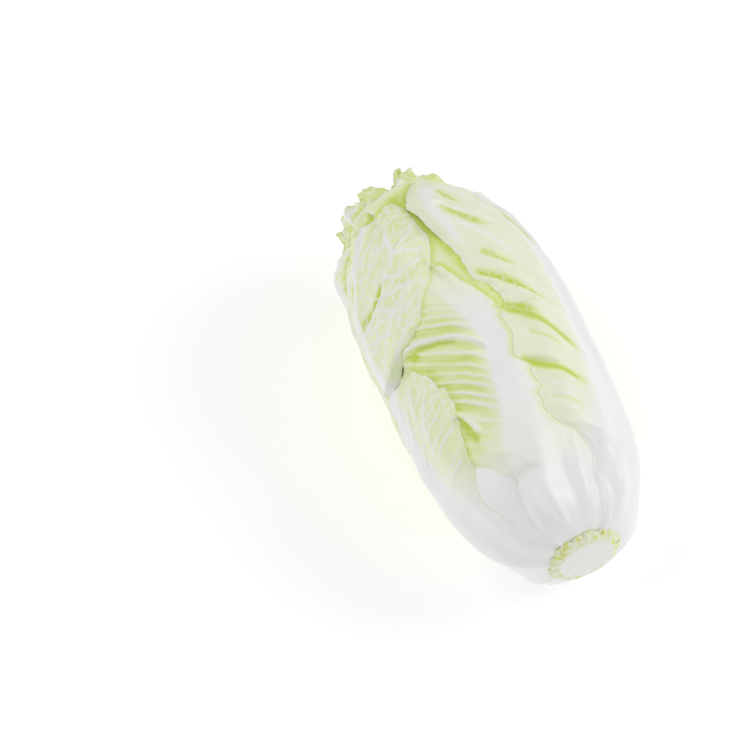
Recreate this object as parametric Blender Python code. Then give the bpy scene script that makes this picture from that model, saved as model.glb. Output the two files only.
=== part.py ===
"""A napa cabbage lying on its side, its cut stem towards -Y and its leaf tips towards +Y.

The head is a stub of stem, a dense heart of young leaves and ten wrapper leaves. Each wrapper
leaf is drawn flat, as an outline about its midrib, and is then wrapped round the heart: it lies
on every leaf beneath it, rises over their thick ribs, and keeps a small gap to them.

Sizes are in millimetres and azimuths in degrees until in_world() turns them into metres.
Azimuth 0 is the top of the head as it lies, and azimuths grow towards +X.
"""

import math
from dataclasses import dataclass

import bmesh
import bpy
import numpy as np

METRES = 0.001

# How the head lies
HEAD_MIDDLE = 149.42  # this far along the axis from the cut stem is Y = 0
AXIS_SIDE = -0.54
AXIS_HEIGHT = 64.6
AXIS_TILT = 2.8  # degrees by which the crown is raised
AXIS_BEND = ((0, 0.0), (40, 0.6), (110, 2.4), (170, 3.0), (220, 1.5), (265, -3.0), (300, -6.0))  # towards +X

# The heart: its outline from the stem to the crown, as distance along the axis and radius
HEART_OUTLINE = (
    (22.0, 19.5), (22.6, 24.0), (27.0, 31.0), (36.0, 37.6), (52.0, 43.4), (80.0, 47.4),
    (115.0, 49.8), (155.0, 52.0), (195.0, 53.0), (222.0, 51.8), (243.0, 47.0), (260.0, 40.0),
    (272.0, 34.0), (283.0, 30.0), (297.0, 27.0),
)
HEART_ROOT = (25.0, 19.0)  # the heart starts here on the stem
HEART_TOP = (280.0, 23.0)  # and closes here, with its own leaf tips standing out above
HEART_STEPS = 24
HEART_SHRINK = 0.6  # the heart's solid lies this far inside the surface that the leaves wrap

# The stem
STEM_RADIUS = 18.6
CUT_RADIUS = 18.0
COLLAR_RADIUS = 21.6
STEM_LENGTH = 24.6
SCAR_DEPTH = 0.9
SCAR_COUNT = 9
STEM_SIDES = 54

# The leaves
GAP = 1.2  # between a leaf and what lies beneath it
BLADE = 1.3
MARGIN_BLADE = 0.9
STACK = 9.0  # the girth on which leaves are drawn flat is this far outside the heart
VEIN_RISE = 0.3  # rise of the side veins towards the tip, per distance from the midrib
RISE_RAMP = 80.0
VEIN_PITCH = 24.0
VEIN_HEIGHT = 1.3
WAVE_PITCH = 41.0
LOBE_PITCH = 37.0
LOBE_DEPTH = 2.4
TIP_REACH = 45.0  # the tip's own frill and roundness begin this far before it
TIP_ROUND = 2.0
TIP_FRILL = 2.6
SHELTER_REACH = 7.0  # a leaf lies smooth this near to a leaf that covers it
SHELTER_FADE = 10.0

# The map of heights by which each leaf is laid on those beneath it
MAP_STEP = 2.0  # millimetres of arc, and degrees of azimuth
MAP_REACH = 6  # a leaf clears what lies within this many steps
MAP_EASE = 3  # and bends gently over this many

# The leaf tips inside the crown
TIP_RINGS = ((19.0, 5, 14.0, 36.0), (10.0, 3, 48.0, 50.0))  # radius, count, first azimuth, half-span
TIP_ROOT = 268.0
TIP_TOP = 299.0


def smoothstep(x):
    """Rises smoothly from 0 at x = 0 to 1 at x = 1."""
    x = np.clip(x, 0.0, 1.0)
    return x * x * (3.0 - 2.0 * x)


def flow(x, stations):
    """The value at x on a smooth curve through (place, value) stations, level past both ends."""
    places, values = np.array(stations, float).T
    x = np.clip(x, places[0], places[-1])
    slopes = np.gradient(values, places)
    i = np.clip(np.searchsorted(places, x, side="right") - 1, 0, len(places) - 2)
    span = places[i + 1] - places[i]
    t = (x - places[i]) / span
    rise = values[i + 1] - values[i]
    blend = t * t * (3.0 - 2.0 * t)
    ends = t * (1.0 - t) * ((1.0 - t) * slopes[i] - t * slopes[i + 1]) * span
    return values[i] + rise * blend + ends


@dataclass(frozen=True)
class Leaf:
    """A wrapper leaf, drawn flat: places along it are arcs from the stem, widths are half-widths."""

    name: str
    midrib: tuple  # (arc, azimuth) of the midrib
    left: tuple  # (arc, half-width) of the outline on the side of falling azimuths
    right: tuple
    rib: tuple  # (arc, half-width, height) of the thick white rib
    wave: float = 2.5  # height of the waves of the margin
    columns: int = 12
    phase: float = 0.0

    @property
    def tip(self):
        """The arc at which the leaf ends."""
        return self.left[-1][0]


STANDARD_SIDE = ((0, 30), (30, 34), (70, 46), (120, 64), (180, 72), (225, 60), (250, 40), (268, 18))
YOUNG_SIDE = ((0, 20), (30, 24), (70, 38), (120, 54), (180, 62), (240, 58), (275, 46), (292, 30))
STANDARD_RIB = ((0, 24, 2.6), (30, 24, 3.8), (80, 19, 4.2), (150, 13, 3.4), (220, 7, 2.0), (270, 4, 0.8))
SLIM_RIB = ((0, 20, 2.0), (40, 18, 2.6), (110, 13, 2.4), (200, 8, 1.6), (290, 4, 0.6))


def stretched(side, length, width):
    """The same outline at another length and width."""
    return tuple((arc * length / side[-1][0], across * width) for arc, across in side)


# From the innermost to the outermost
LEAVES = (
    Leaf("leaf_inner_back", ((0, 152), (290, 140)), YOUNG_SIDE, YOUNG_SIDE, SLIM_RIB, wave=4.0, columns=10, phase=0.4),
    Leaf("leaf_inner_left", ((0, -48), (200, -58), (290, -64)), YOUNG_SIDE, YOUNG_SIDE, SLIM_RIB, wave=4.0,
         columns=10, phase=1.9),
    Leaf("leaf_inner_right", ((0, 52), (290, 42)), YOUNG_SIDE, YOUNG_SIDE, SLIM_RIB, wave=4.0, columns=10, phase=3.1),
    Leaf("leaf_back_left", ((0, -142), (290, -130)), stretched(STANDARD_SIDE, 278, 0.86),
         stretched(STANDARD_SIDE, 278, 0.86), SLIM_RIB, columns=10, phase=4.3),
    Leaf("leaf_side_left", ((0, -64), (60, -66), (150, -80), (256, -88)), stretched(STANDARD_SIDE, 256, 0.9),
         ((0, 26), (30, 34), (60, 44), (110, 58), (160, 66), (210, 62), (240, 44), (256, 18)),
         STANDARD_RIB, phase=2.6),
    Leaf("leaf_front", ((0, -17), (55, -11), (93, -6), (134, 0), (149, -4), (169, -14), (185, -24), (206, -36)),
         ((0, 12), (14, 19), (28, 21), (36, 20), (39, 25), (44, 30), (51, 44), (70, 56), (110, 64), (150, 66),
          (185, 46), (206, 16)),
         ((0, 26), (30, 38), (60, 46), (85, 44), (115, 24), (136, 9), (147, 6), (167, 7), (183, 9), (206, 8)),
         STANDARD_RIB, phase=5.2),
    Leaf("leaf_back_right", ((0, 118), (270, 112)), stretched(STANDARD_SIDE, 276, 0.9),
         stretched(STANDARD_SIDE, 276, 0.9), STANDARD_RIB, columns=10, phase=0.9),
    Leaf("leaf_wrap_left", ((0, -98), (60, -92), (120, -82), (180, -68), (220, -52), (247, -42)),
         ((0, 32), (40, 40), (90, 50), (150, 46), (195, 40), (225, 30), (247, 14)),
         ((0, 26), (5, 28), (13, 29), (18, 32), (39, 33), (49, 39), (63, 44), (71, 46), (85, 45), (100, 40),
          (111, 35), (122, 27), (136, 17), (143, 9), (147, 20), (150, 36), (155, 45), (164, 50), (169, 55),
          (186, 54), (206, 46), (223, 36), (231, 28), (247, 14)),
         STANDARD_RIB, phase=3.7),
    Leaf("leaf_wrap_right", ((0, 70), (90, 68), (140, 66), (190, 60), (220, 54), (266, 44)),
         ((0, 26), (12, 33), (19, 37), (33, 40), (40, 50), (45, 60), (52, 63), (60, 62), (72, 62), (83, 59),
          (87, 65), (96, 65), (119, 62), (146, 62), (159, 66), (172, 68), (187, 66), (199, 64), (222, 54),
          (243, 43), (266, 20)),
         ((0, 40), (40, 46), (90, 58), (150, 70), (200, 66), (240, 46), (266, 20)),
         STANDARD_RIB, phase=1.2),
    Leaf("leaf_under", ((0, 180), (150, 184), (270, 185)),
         ((0, 30), (40, 40), (100, 54), (170, 60), (220, 50), (250, 34), (266, 18)),
         ((0, 30), (40, 40), (100, 54), (170, 60), (220, 50), (250, 34), (266, 18)),
         ((0, 26, 3.0), (30, 28, 5.0), (80, 25, 5.4), (150, 21, 4.8), (220, 12, 2.6), (270, 5, 0.8)),
         wave=3.0, phase=4.9),
)


def meridian_tables():
    """The heart's outline by arc: arcs, places along the axis, radii, and the outward normal."""
    stations = np.array(HEART_OUTLINE)
    chords = np.r_[0.0, np.cumsum(np.hypot(*np.diff(stations, axis=0).T))]
    fine = np.linspace(0.0, chords[-1], 600)
    along = flow(fine, np.c_[chords, stations[:, 0]])
    radius = flow(fine, np.c_[chords, stations[:, 1]])
    arcs = np.r_[0.0, np.cumsum(np.hypot(np.diff(along), np.diff(radius)))]
    slope_along, slope_radius = np.gradient(along, arcs), np.gradient(radius, arcs)
    return arcs, along, radius, -slope_radius, slope_along


ARCS, ALONG, RADIUS, NORMAL_ALONG, NORMAL_OUT = meridian_tables()


def on_head(arc, height):
    """Place along the axis and radius of a point at that height above the heart's surface."""
    along = np.interp(arc, ARCS, ALONG) + height * np.interp(arc, ARCS, NORMAL_ALONG)
    radius = np.interp(arc, ARCS, RADIUS) + height * np.interp(arc, ARCS, NORMAL_OUT)
    return along, radius


def girth(arc):
    """Radius on which the leaves are drawn flat."""
    return np.interp(arc, ARCS, RADIUS) + STACK


def in_world(along, radius, azimuth):
    """Points in metres, on the head as it lies."""
    turn, tilt = np.radians(azimuth), math.radians(AXIS_TILT)
    y, up = along - HEAD_MIDDLE, radius * np.cos(turn)
    points = np.stack(
        [
            radius * np.sin(turn) + flow(along, AXIS_BEND) + AXIS_SIDE,
            y * math.cos(tilt) - up * math.sin(tilt),
            AXIS_HEIGHT + y * math.sin(tilt) + up * math.cos(tilt),
        ],
        axis=-1,
    )
    return points * METRES


def across(leaf, azimuth, arc):
    """Signed distance from the leaf's midrib, on the leaf laid flat."""
    turn = (azimuth - flow(arc, leaf.midrib) + 180.0) % 360.0 - 180.0
    return np.radians(turn) * girth(arc)


def rise(leaf, row):
    """How much a row of the leaf climbs per distance from the midrib: none at base and tip."""
    return VEIN_RISE * smoothstep(row / RISE_RAMP) * smoothstep((leaf.tip - row) / RISE_RAMP)


def row_at(leaf, x, arc):
    """The row, named by its arc on the midrib, that passes through a point of the flat leaf."""
    row = np.array(arc, float)
    for _ in range(12):
        row = arc - rise(leaf, row) * np.abs(x)
    return row


def half_width(leaf, x, row):
    """Half-width of the leaf along a row, on the side where x lies."""
    return np.where(x < 0.0, flow(row, leaf.left), flow(row, leaf.right))


def cover(leaf, azimuth, arc):
    """1 on the leaf and close to it, and falling to 0 around it."""
    x = across(leaf, azimuth, arc)
    row = row_at(leaf, x, arc)
    beside = np.maximum(np.abs(x) - half_width(leaf, x, row), 0.0)
    beyond = np.maximum(row - leaf.tip, 0.0)
    return 1.0 - smoothstep((np.hypot(beside, beyond) - SHELTER_REACH) / SHELTER_FADE)


def thickness(leaf, x, row):
    """Thickness of the leaf: a rounded rib that thins into the blade."""
    arcs, widths, heights = np.array(leaf.rib).T
    rib_width = flow(row, np.c_[arcs, widths])
    rib_height = flow(row, np.c_[arcs, heights])
    return BLADE + rib_height * (1.0 - smoothstep(np.abs(x) / rib_width))


def openness(order, azimuth, arc):
    """1 where the leaf of that order lies open, and 0 where another covers it."""
    free = np.ones(np.shape(arc))
    for leaf in LEAVES[order + 1 :]:
        free *= 1.0 - cover(leaf, azimuth, arc)
    return free


def wave_lift(leaf, u, row, free):
    """How far the open margin waves up from what lies beneath."""
    wave = leaf.wave * (0.5 + 0.5 * np.sin(2.0 * math.pi * row / WAVE_PITCH + leaf.phase + u))
    wave = wave * smoothstep((np.abs(u) - 0.45) / 0.55) * smoothstep(row / RISE_RAMP)
    frill = TIP_FRILL * (0.5 + 0.5 * np.sin(8.0 * u + leaf.phase)) * tip_part(leaf, row)
    return free * (wave + frill)


def tip_part(leaf, row):
    """0 over most of the leaf, rising to 1 at its tip."""
    return smoothstep((row - leaf.tip + TIP_REACH) / TIP_REACH)


def vein_relief(u, row, free):
    """Height of the side veins, which run out from the rib and fade before the margin."""
    vein = VEIN_HEIGHT * (0.5 + 0.5 * np.cos(2.0 * math.pi * row / VEIN_PITCH))
    vein = vein * free * smoothstep((row - 40.0) / 60.0)
    return vein * smoothstep(np.abs(u) / 0.3) * smoothstep((1.0 - np.abs(u)) / 0.4)


def eased(height):
    """The map raised to clear its highest places nearby, and smoothed."""
    for shift_rows in (False, True):
        shifts = range(-MAP_REACH - MAP_EASE, MAP_REACH + MAP_EASE + 1)
        height = np.max([moved(height, k, shift_rows) for k in shifts], axis=0)
    for shift_rows in (False, True):
        shifts = range(-MAP_EASE, MAP_EASE + 1)
        height = np.mean([moved(height, k, shift_rows) for k in shifts], axis=0)
    return height


def moved(height, steps, shift_rows):
    """The map moved along its arcs, past whose ends it is level, or round its azimuths."""
    if shift_rows:
        return height[np.clip(np.arange(len(height)) + steps, 0, len(height) - 1)]
    return np.roll(height, steps, axis=1)


def read_map(height, arc, azimuth):
    """Heights between the places of the map."""
    row = np.clip(arc / MAP_STEP, 0.0, len(height) - 1.001)
    turn = (azimuth / MAP_STEP) % height.shape[1]
    i, j = np.floor(row).astype(int), np.floor(turn).astype(int) % height.shape[1]
    a, b, k = row - i, turn - np.floor(turn), (j + 1) % height.shape[1]
    near = height[i, j] * (1.0 - b) + height[i, k] * b
    return near * (1.0 - a) + (height[i + 1, j] * (1.0 - b) + height[i + 1, k] * b) * a


def lay_beds():
    """For each leaf in turn, the map of the heights on which it lies."""
    arc, azimuth = np.meshgrid(np.arange(0.0, ARCS[-1], MAP_STEP), np.arange(0.0, 360.0, MAP_STEP), indexing="ij")
    pile, beds = np.zeros(arc.shape), []
    for order, leaf in enumerate(LEAVES):
        beds.append(GAP + eased(pile))
        x = across(leaf, azimuth, arc)
        row = row_at(leaf, x, arc)
        width = half_width(leaf, x, row)
        u = np.clip(x / width, -1.0, 1.0)
        free = openness(order, azimuth, arc)
        top = beds[-1] + wave_lift(leaf, u, row, free) + thickness(leaf, x, row) + vein_relief(u, row, free)
        here = (np.abs(x) < width + LOBE_DEPTH) & (row < leaf.tip + MAP_STEP)
        pile = np.where(here, np.maximum(pile, top), pile)
    return beds


BEDS = lay_beds()


def leaf_skins(order, u, v):
    """The inner and outer skin of a leaf, for u from -1 to 1 across it and v from 0 to 1 along it."""
    leaf = LEAVES[order]
    row = v * leaf.tip
    lobe = LOBE_DEPTH * np.sin(2.0 * math.pi * row / LOBE_PITCH + leaf.phase + 2.0 * (u > 0.0))
    x = u * half_width(leaf, u, row) + np.sign(u) * lobe * smoothstep(row / RISE_RAMP) * np.abs(u) ** 3
    drop = (TIP_ROUND * u**2 + 1.5 * np.sin(9.0 * u + leaf.phase)) * tip_part(leaf, row)
    arc = row + rise(leaf, row) * np.abs(x) - drop
    azimuth = flow(arc, leaf.midrib) + np.degrees(x / girth(arc))
    free = openness(order, azimuth, arc)
    thin = 1.0 - (1.0 - MARGIN_BLADE / BLADE) * np.abs(u) ** 6
    low = read_map(BEDS[order], arc, azimuth) + wave_lift(leaf, u, row, free)
    high = low + thickness(leaf, x, row) * thin + vein_relief(u, row, free)
    inner = in_world(*on_head(arc, low), azimuth)
    outer = in_world(*on_head(arc, high), azimuth)
    if order == len(LEAVES) - 1:
        outer[:, 2] = np.maximum(outer[:, 2], 0.0)  # the flat on which the head rests
    return inner, outer


def material(name, colour, roughness=0.5):
    """A plain material of that colour."""
    made = bpy.data.materials.new(name)
    made.use_nodes = True
    shader = made.node_tree.nodes["Principled BSDF"]
    shader.inputs["Base Color"].default_value = (*colour, 1.0)
    shader.inputs["Roughness"].default_value = roughness
    return made


def add_object(name, bm, collection, finish):
    """Makes the object of a bmesh, smooth over its soft edges."""
    mesh = bpy.data.meshes.new(name)
    bm.to_mesh(mesh)
    bm.free()
    mesh.materials.append(finish)
    mesh.shade_smooth()
    mesh.set_sharp_from_angle(angle=math.radians(50.0))
    made = bpy.data.objects.new(name, mesh)
    collection.objects.link(made)
    return made


def sheet(columns, rows, skins):
    """A closed sheet: a grid in two skins, split into triangles alike, placed by skins(u, v)."""
    bm = bmesh.new()
    bmesh.ops.create_grid(bm, x_segments=columns, y_segments=rows, size=1.0)
    bmesh.ops.triangulate(bm, faces=bm.faces)
    grid = bm.verts[:]
    places = np.array([vert.co[:2] for vert in grid])
    u = places[:, 0] * (0.72 + 0.28 * places[:, 0] ** 2)
    inner, outer = skins(u, 0.5 * (places[:, 1] + 1.0))
    copied = bmesh.ops.extrude_face_region(bm, geom=bm.faces[:], use_keep_orig=True)
    lifted = [item for item in copied["geom"] if isinstance(item, bmesh.types.BMVert)]
    twin = {tuple(vert.co): vert for vert in lifted}
    for vert, low, high in zip(grid, inner, outer):
        twin[tuple(vert.co)].co = high
        vert.co = low
    return bm


def add_leaf(order, collection, finish):
    """One wrapper leaf, with two rows of faces for each side vein."""
    leaf = LEAVES[order]
    rows = round(2.0 * leaf.tip / VEIN_PITCH)
    bm = sheet(leaf.columns, rows, lambda u, v: leaf_skins(order, u, v))
    return add_object(leaf.name, bm, collection, finish)


def add_stem(collection, finish):
    """The stub of stem: a round cut face and a collar fluted with the scars of trimmed leaves."""
    levels = ((0.0, CUT_RADIUS, 0.0), (0.9, CUT_RADIUS + 1.0, 0.4), (2.9, COLLAR_RADIUS, 1.0),
              (4.2, STEM_RADIUS, 0.3), (STEM_LENGTH, STEM_RADIUS, 0.0))
    turns = np.arange(STEM_SIDES) * 360.0 / STEM_SIDES
    flute = 0.5 - 0.5 * np.cos(np.radians(turns) * SCAR_COUNT)
    bm = bmesh.new()
    rings = []
    for along, radius, depth in levels:
        points = in_world(np.full(STEM_SIDES, along), radius - SCAR_DEPTH * depth * flute, turns)
        rings.append([bm.verts.new(point) for point in points])
    for low, high in zip(rings, rings[1:]):
        for i in range(STEM_SIDES):
            j = (i + 1) % STEM_SIDES
            bm.faces.new((low[i], low[j], high[j], high[i]))
    bm.faces.new(rings[0][::-1])
    bm.faces.new(rings[-1])
    return add_object("stem", bm, collection, finish)


def heart_core():
    """The heart's body: its outline turned about the head's axis, and closed below the crown."""
    profile = [(along, radius - HEART_SHRINK) for along, radius in HEART_OUTLINE if 30.0 < along < HEART_TOP[0]]
    profile = [HEART_ROOT, *profile, HEART_TOP]
    turns = np.arange(HEART_STEPS) * 360.0 / HEART_STEPS
    bm = bmesh.new()
    rings = [
        [bm.verts.new(point) for point in in_world(np.full(HEART_STEPS, along), radius, turns)]
        for along, radius in profile
    ]
    for low, high in zip(rings, rings[1:]):
        for i in range(HEART_STEPS):
            j = (i + 1) % HEART_STEPS
            bm.faces.new((low[i], low[j], high[j], high[i]))
    bm.faces.new(rings[0][::-1])
    bm.faces.new(rings[-1])
    return bm


def tip_skins(radius, azimuth, half_span, phase, u, v):
    """The skins of one young leaf tip in the crown: cupped round the axis, its edge frilled."""
    along = TIP_ROOT + (TIP_TOP - TIP_ROOT) * v - 5.0 * v * u * u
    frill = 1.6 * smoothstep((v - 0.3) / 0.7) * np.sin(7.0 * u + phase)
    reach = radius * (1.0 - 0.12 * v) + frill
    turn = azimuth + half_span * u * (1.0 - 0.2 * v)
    return in_world(along, reach - 0.65, turn), in_world(along, reach + 0.65, turn)


def add_heart(collection, finish):
    """The heart: its core and the tips of its young leaves, joined in one solid."""
    core = add_object("heart", heart_core(), collection, finish)
    tips = bpy.data.collections.new("heart_tips")
    bpy.context.scene.collection.children.link(tips)
    for radius, count, first, half_span in TIP_RINGS:
        for i in range(count):
            azimuth, phase = first + 360.0 * i / count, 1.7 * i + radius
            bm = sheet(6, 5, lambda u, v: tip_skins(radius, azimuth, half_span, phase, u, v))
            add_object(f"tip_{radius:.0f}_{i}", bm, tips, finish)
    joint = core.modifiers.new("join the tips", "BOOLEAN")
    joint.operation = "UNION"
    joint.solver = "EXACT"
    joint.operand_type = "COLLECTION"
    joint.collection = tips
    graph = bpy.context.evaluated_depsgraph_get()
    whole = bpy.data.meshes.new_from_object(core.evaluated_get(graph))
    core.modifiers.clear()
    core.data = whole
    for blade in list(tips.objects):
        bpy.data.objects.remove(blade)
    bpy.data.collections.remove(tips)
    return core


def main():
    """Builds the head from the inside out."""
    for leftover in list(bpy.data.objects):
        bpy.data.objects.remove(leftover)
    head = bpy.data.collections.new("napa_cabbage")
    bpy.context.scene.collection.children.link(head)
    white = material("stem", (0.86, 0.88, 0.76), 0.45)
    pale = material("heart", (0.80, 0.86, 0.45), 0.5)
    green = material("leaf", (0.80, 0.88, 0.58), 0.42)
    add_stem(head, white)
    add_heart(head, pale)
    for order in range(len(LEAVES)):
        add_leaf(order, head, green)


main()
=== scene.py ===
"""The looks of a napa cabbage that lies on its side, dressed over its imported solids.

Sizes are millimetres and azimuths degrees about the head's own axis, until HeadShape.in_world()
turns them into metres. Azimuth 0 is the top of the head as it lies, and azimuths grow towards +X.
"""

import logging
import math
from dataclasses import dataclass, field
from enum import Enum

import bpy
import numpy as np
from mathutils import Matrix, Vector


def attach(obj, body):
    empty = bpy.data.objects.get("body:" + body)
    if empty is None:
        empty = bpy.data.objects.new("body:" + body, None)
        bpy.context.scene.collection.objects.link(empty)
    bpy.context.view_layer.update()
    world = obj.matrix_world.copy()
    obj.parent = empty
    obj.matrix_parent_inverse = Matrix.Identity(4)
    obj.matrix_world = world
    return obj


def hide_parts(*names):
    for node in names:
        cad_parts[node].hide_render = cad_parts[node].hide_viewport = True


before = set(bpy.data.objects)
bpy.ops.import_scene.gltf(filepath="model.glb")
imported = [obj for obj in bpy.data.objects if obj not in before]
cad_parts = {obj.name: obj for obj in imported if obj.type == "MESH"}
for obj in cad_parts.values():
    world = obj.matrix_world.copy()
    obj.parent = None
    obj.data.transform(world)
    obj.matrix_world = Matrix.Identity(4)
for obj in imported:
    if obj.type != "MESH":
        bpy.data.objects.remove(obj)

LOG = logging.getLogger("napa_cabbage")
METRES = 0.001
BODY = "root"
FAR = 1e3  # millimetres: past the whole head
ROUND = 2.0 * math.pi

Array = np.ndarray
Stations = tuple[tuple[float, ...], ...]
Colour = tuple[float, float, float]


def smoothstep(x: Array | float) -> Array:
    """Rises smoothly from 0 at x = 0 to 1 at x = 1.

    Args:
        x: Places.

    Returns:
        The smooth steps.
    """
    x = np.clip(x, 0.0, 1.0)
    return x * x * (3.0 - 2.0 * x)


def rising(x: Array | float, start: Array | float, width: float) -> Array:
    """The smooth step from 0 at start to 1 past that width."""
    return smoothstep((x - start) / width)


def flow(x: Array | float, stations: Stations | Array) -> Array:
    """The value at x on a smooth curve through stations, level past both ends.

    Args:
        x: Places.
        stations: Pairs of place and value.

    Returns:
        The values there.
    """
    places, values = np.array(stations, float).T
    x = np.clip(x, places[0], places[-1])
    slopes = np.gradient(values, places)
    i = np.clip(np.searchsorted(places, x, side="right") - 1, 0, len(places) - 2)
    span = places[i + 1] - places[i]
    t = (x - places[i]) / span
    rise = values[i + 1] - values[i]
    blend = t * t * (3.0 - 2.0 * t)
    ends = t * (1.0 - t) * ((1.0 - t) * slopes[i] - t * slopes[i + 1]) * span
    return values[i] + rise * blend + ends


@dataclass(frozen=True)
class Ripple:
    """A smooth random field: sine waves of about one length in random directions."""

    length: float
    seed: int
    waves: int = 9
    mix: tuple[float, float] = (0.75, 1.4)  # shortest and longest wave, as shares of the length

    def at(self, a: Array, b: Array) -> Array:
        """The field, mostly between -1 and 1.

        Args:
            a: First coordinate, in millimetres.
            b: Second coordinate.

        Returns:
            The field's values.
        """
        draw = np.random.default_rng(self.seed)
        total = np.zeros(np.broadcast(a, b).shape)
        for _ in range(self.waves):
            turn, phase = draw.uniform(0.0, ROUND, 2)
            wave_number = ROUND / (self.length * draw.uniform(*self.mix))
            total += np.sin(wave_number * (a * math.cos(turn) + b * math.sin(turn)) + phase)
        return total / math.sqrt(self.waves)


@dataclass(frozen=True)
class Net:
    """A net of veins round cells, whose centres are a jittered grid."""

    size: float
    seed: int
    repeat: int = 64
    jitter: tuple[float, float] = (0.1, 0.9)  # where in its square a centre may lie

    def inside(self, a: Array, b: Array) -> Array:
        """How far inside its cell each point lies.

        Args:
            a: First coordinate, in millimetres.
            b: Second coordinate.

        Returns:
            0 on the veins, and towards 1 at the middle of a large cell.
        """
        jitter = np.random.default_rng(self.seed).uniform(*self.jitter, (self.repeat, self.repeat, 2))
        a, b = a / self.size, b / self.size
        i, j = np.floor(a).astype(int), np.floor(b).astype(int)
        spans = []
        for di in (-1, 0, 1):
            for dj in (-1, 0, 1):
                centre = jitter[(i + di) % self.repeat, (j + dj) % self.repeat]
                spans.append(np.hypot(i + di + centre[..., 0] - a, j + dj + centre[..., 1] - b))
        nearest = np.partition(np.array(spans), 1, axis=0)
        return np.clip(nearest[1] - nearest[0], 0.0, 1.0)


@dataclass(frozen=True)
class HeadShape:
    """The heart's outline, and how the head lies."""

    middle: float = 149.42  # this far along the axis from the cut stem is Y = 0
    side: float = -0.54
    height: float = 64.6
    tilt: float = 2.8  # degrees by which the crown is raised
    bend: Stations = ((0, 0.0), (40, 0.6), (110, 2.4), (170, 3.0), (220, 1.5), (265, -3.0), (300, -6.0))
    outline: Stations = (
        (22.0, 19.5), (22.6, 24.0), (27.0, 31.0), (36.0, 37.6), (52.0, 43.4), (80.0, 47.4),
        (115.0, 49.8), (155.0, 52.0), (195.0, 53.0), (222.0, 51.8), (243.0, 47.0), (260.0, 40.0),
        (272.0, 34.0), (283.0, 30.0), (297.0, 27.0),
    )
    stack: float = 9.0  # the girth on which leaves are drawn flat is this far outside the heart
    fine_steps: int = 600  # in which the outline's arc is measured

    def __post_init__(self) -> None:
        """Works out the outline by arc."""
        stations = np.array(self.outline)
        chords = np.r_[0.0, np.cumsum(np.hypot(*np.diff(stations, axis=0).T))]
        fine = np.linspace(0.0, chords[-1], self.fine_steps)
        along = flow(fine, np.c_[chords, stations[:, 0]])
        radius = flow(fine, np.c_[chords, stations[:, 1]])
        arcs = np.r_[0.0, np.cumsum(np.hypot(np.diff(along), np.diff(radius)))]
        slopes = np.gradient(along, arcs), np.gradient(radius, arcs)
        for name, value in (("arcs", arcs), ("along", along), ("radius", radius), ("slopes", slopes)):
            object.__setattr__(self, name, value)

    def on_head(self, arc: Array, height: Array) -> tuple[Array, Array]:
        """Points at a height above the heart's surface.

        Args:
            arc: Arcs from the stem.
            height: Heights along the outward normal.

        Returns:
            Places along the axis, and radii.
        """
        along = np.interp(arc, self.arcs, self.along) - height * np.interp(arc, self.arcs, self.slopes[1])
        radius = np.interp(arc, self.arcs, self.radius) + height * np.interp(arc, self.arcs, self.slopes[0])
        return along, radius

    def girth(self, arc: Array) -> Array:
        """The radius on which the leaves are drawn flat."""
        return np.interp(arc, self.arcs, self.radius) + self.stack

    def in_world(self, along: Array, radius: Array, azimuth: Array) -> Array:
        """Points on the head as it lies.

        Args:
            along: Places along the axis from the cut.
            radius: Distances from the axis.
            azimuth: Azimuths in degrees.

        Returns:
            Points in metres, as rows of x, y and z.
        """
        turn, tilt = np.radians(azimuth), math.radians(self.tilt)
        y, up = along - self.middle, radius * np.cos(turn)
        points = np.stack(
            [
                radius * np.sin(turn) + flow(along, self.bend) + self.side,
                y * math.cos(tilt) - up * math.sin(tilt),
                self.height + y * math.sin(tilt) + up * math.cos(tilt),
            ],
            axis=-1,
        )
        return points * METRES


@dataclass(frozen=True)
class Stroke:
    """One vein, fold or crease drawn on the flat leaf, as a path of (row, x) points."""

    path: Stations
    width: float  # half of it
    height: float  # above the blade, or below it where negative
    white: float = 0.0
    # how deep green it paints along its path; for creases and troughs that is painted shade at their bottoms
    green_and_shade: float = 0.0
    fade: tuple[float, float] = (0.0, 0.25)  # the shares of its length over which it fades, first and last

    def nearness(self, row: Array, x: Array) -> Array:
        """How near each point lies to the path.

        Args:
            row: Rows of the points.
            x: Their signed distances from the midrib.

        Returns:
            1 on the path, falling to 0 a few widths from it and at its faded ends.
        """
        span, share = np.full(np.shape(row), FAR), np.zeros(np.shape(row))
        lengths = [math.dist(a, b) for a, b in zip(self.path, self.path[1:])]
        passed = 0.0
        for (row_a, x_a), (row_b, x_b), length in zip(self.path, self.path[1:], lengths):
            step_row, step_x = row_b - row_a, x_b - x_a
            t = np.clip(((row - row_a) * step_row + (x - x_a) * step_x) / length**2, 0.0, 1.0)
            here = np.hypot(row - row_a - t * step_row, x - x_a - t * step_x)
            share = np.where(here < span, (passed + t * length) / sum(lengths), share)
            span = np.minimum(span, here)
            passed += length
        first, last = self.fade
        ends = smoothstep((1.0 - share) / last)
        if first:
            ends = ends * smoothstep(share / first)
        return ends * np.exp(-((span / self.width) ** 2))


def vein(*path: tuple[float, float], width: float = 1.0, height: float = 0.7, white: float = 0.9) -> Stroke:
    """A white vein that stands out of the blade."""
    return Stroke(path, width, height, white=white)


def veins(*paths: Stations, **look: float) -> tuple[Stroke, ...]:
    """White veins that look alike."""
    return tuple(vein(*path, **look) for path in paths)


def crease(*path: tuple[float, float], width: float = 1.6, depth: float = 1.2, green_and_shade: float = 0.8) -> Stroke:
    """A fold pressed into the blade, greener at its bottom, where the green is painted shade."""
    return Stroke(path, width, -depth, green_and_shade=green_and_shade, fade=(0.25, 0.3))


def trough(*path: tuple[float, float], width: float = 3.4, depth: float = 2.2, green_and_shade: float = 0.7) -> Stroke:
    """A wide soft hollow of the blade, yellow-green at its bottom: the leaf's own colour deepened by painted
    shade.
    """
    return Stroke(path, width, -depth, green_and_shade=green_and_shade, fade=(0.08, 0.35))


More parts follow.
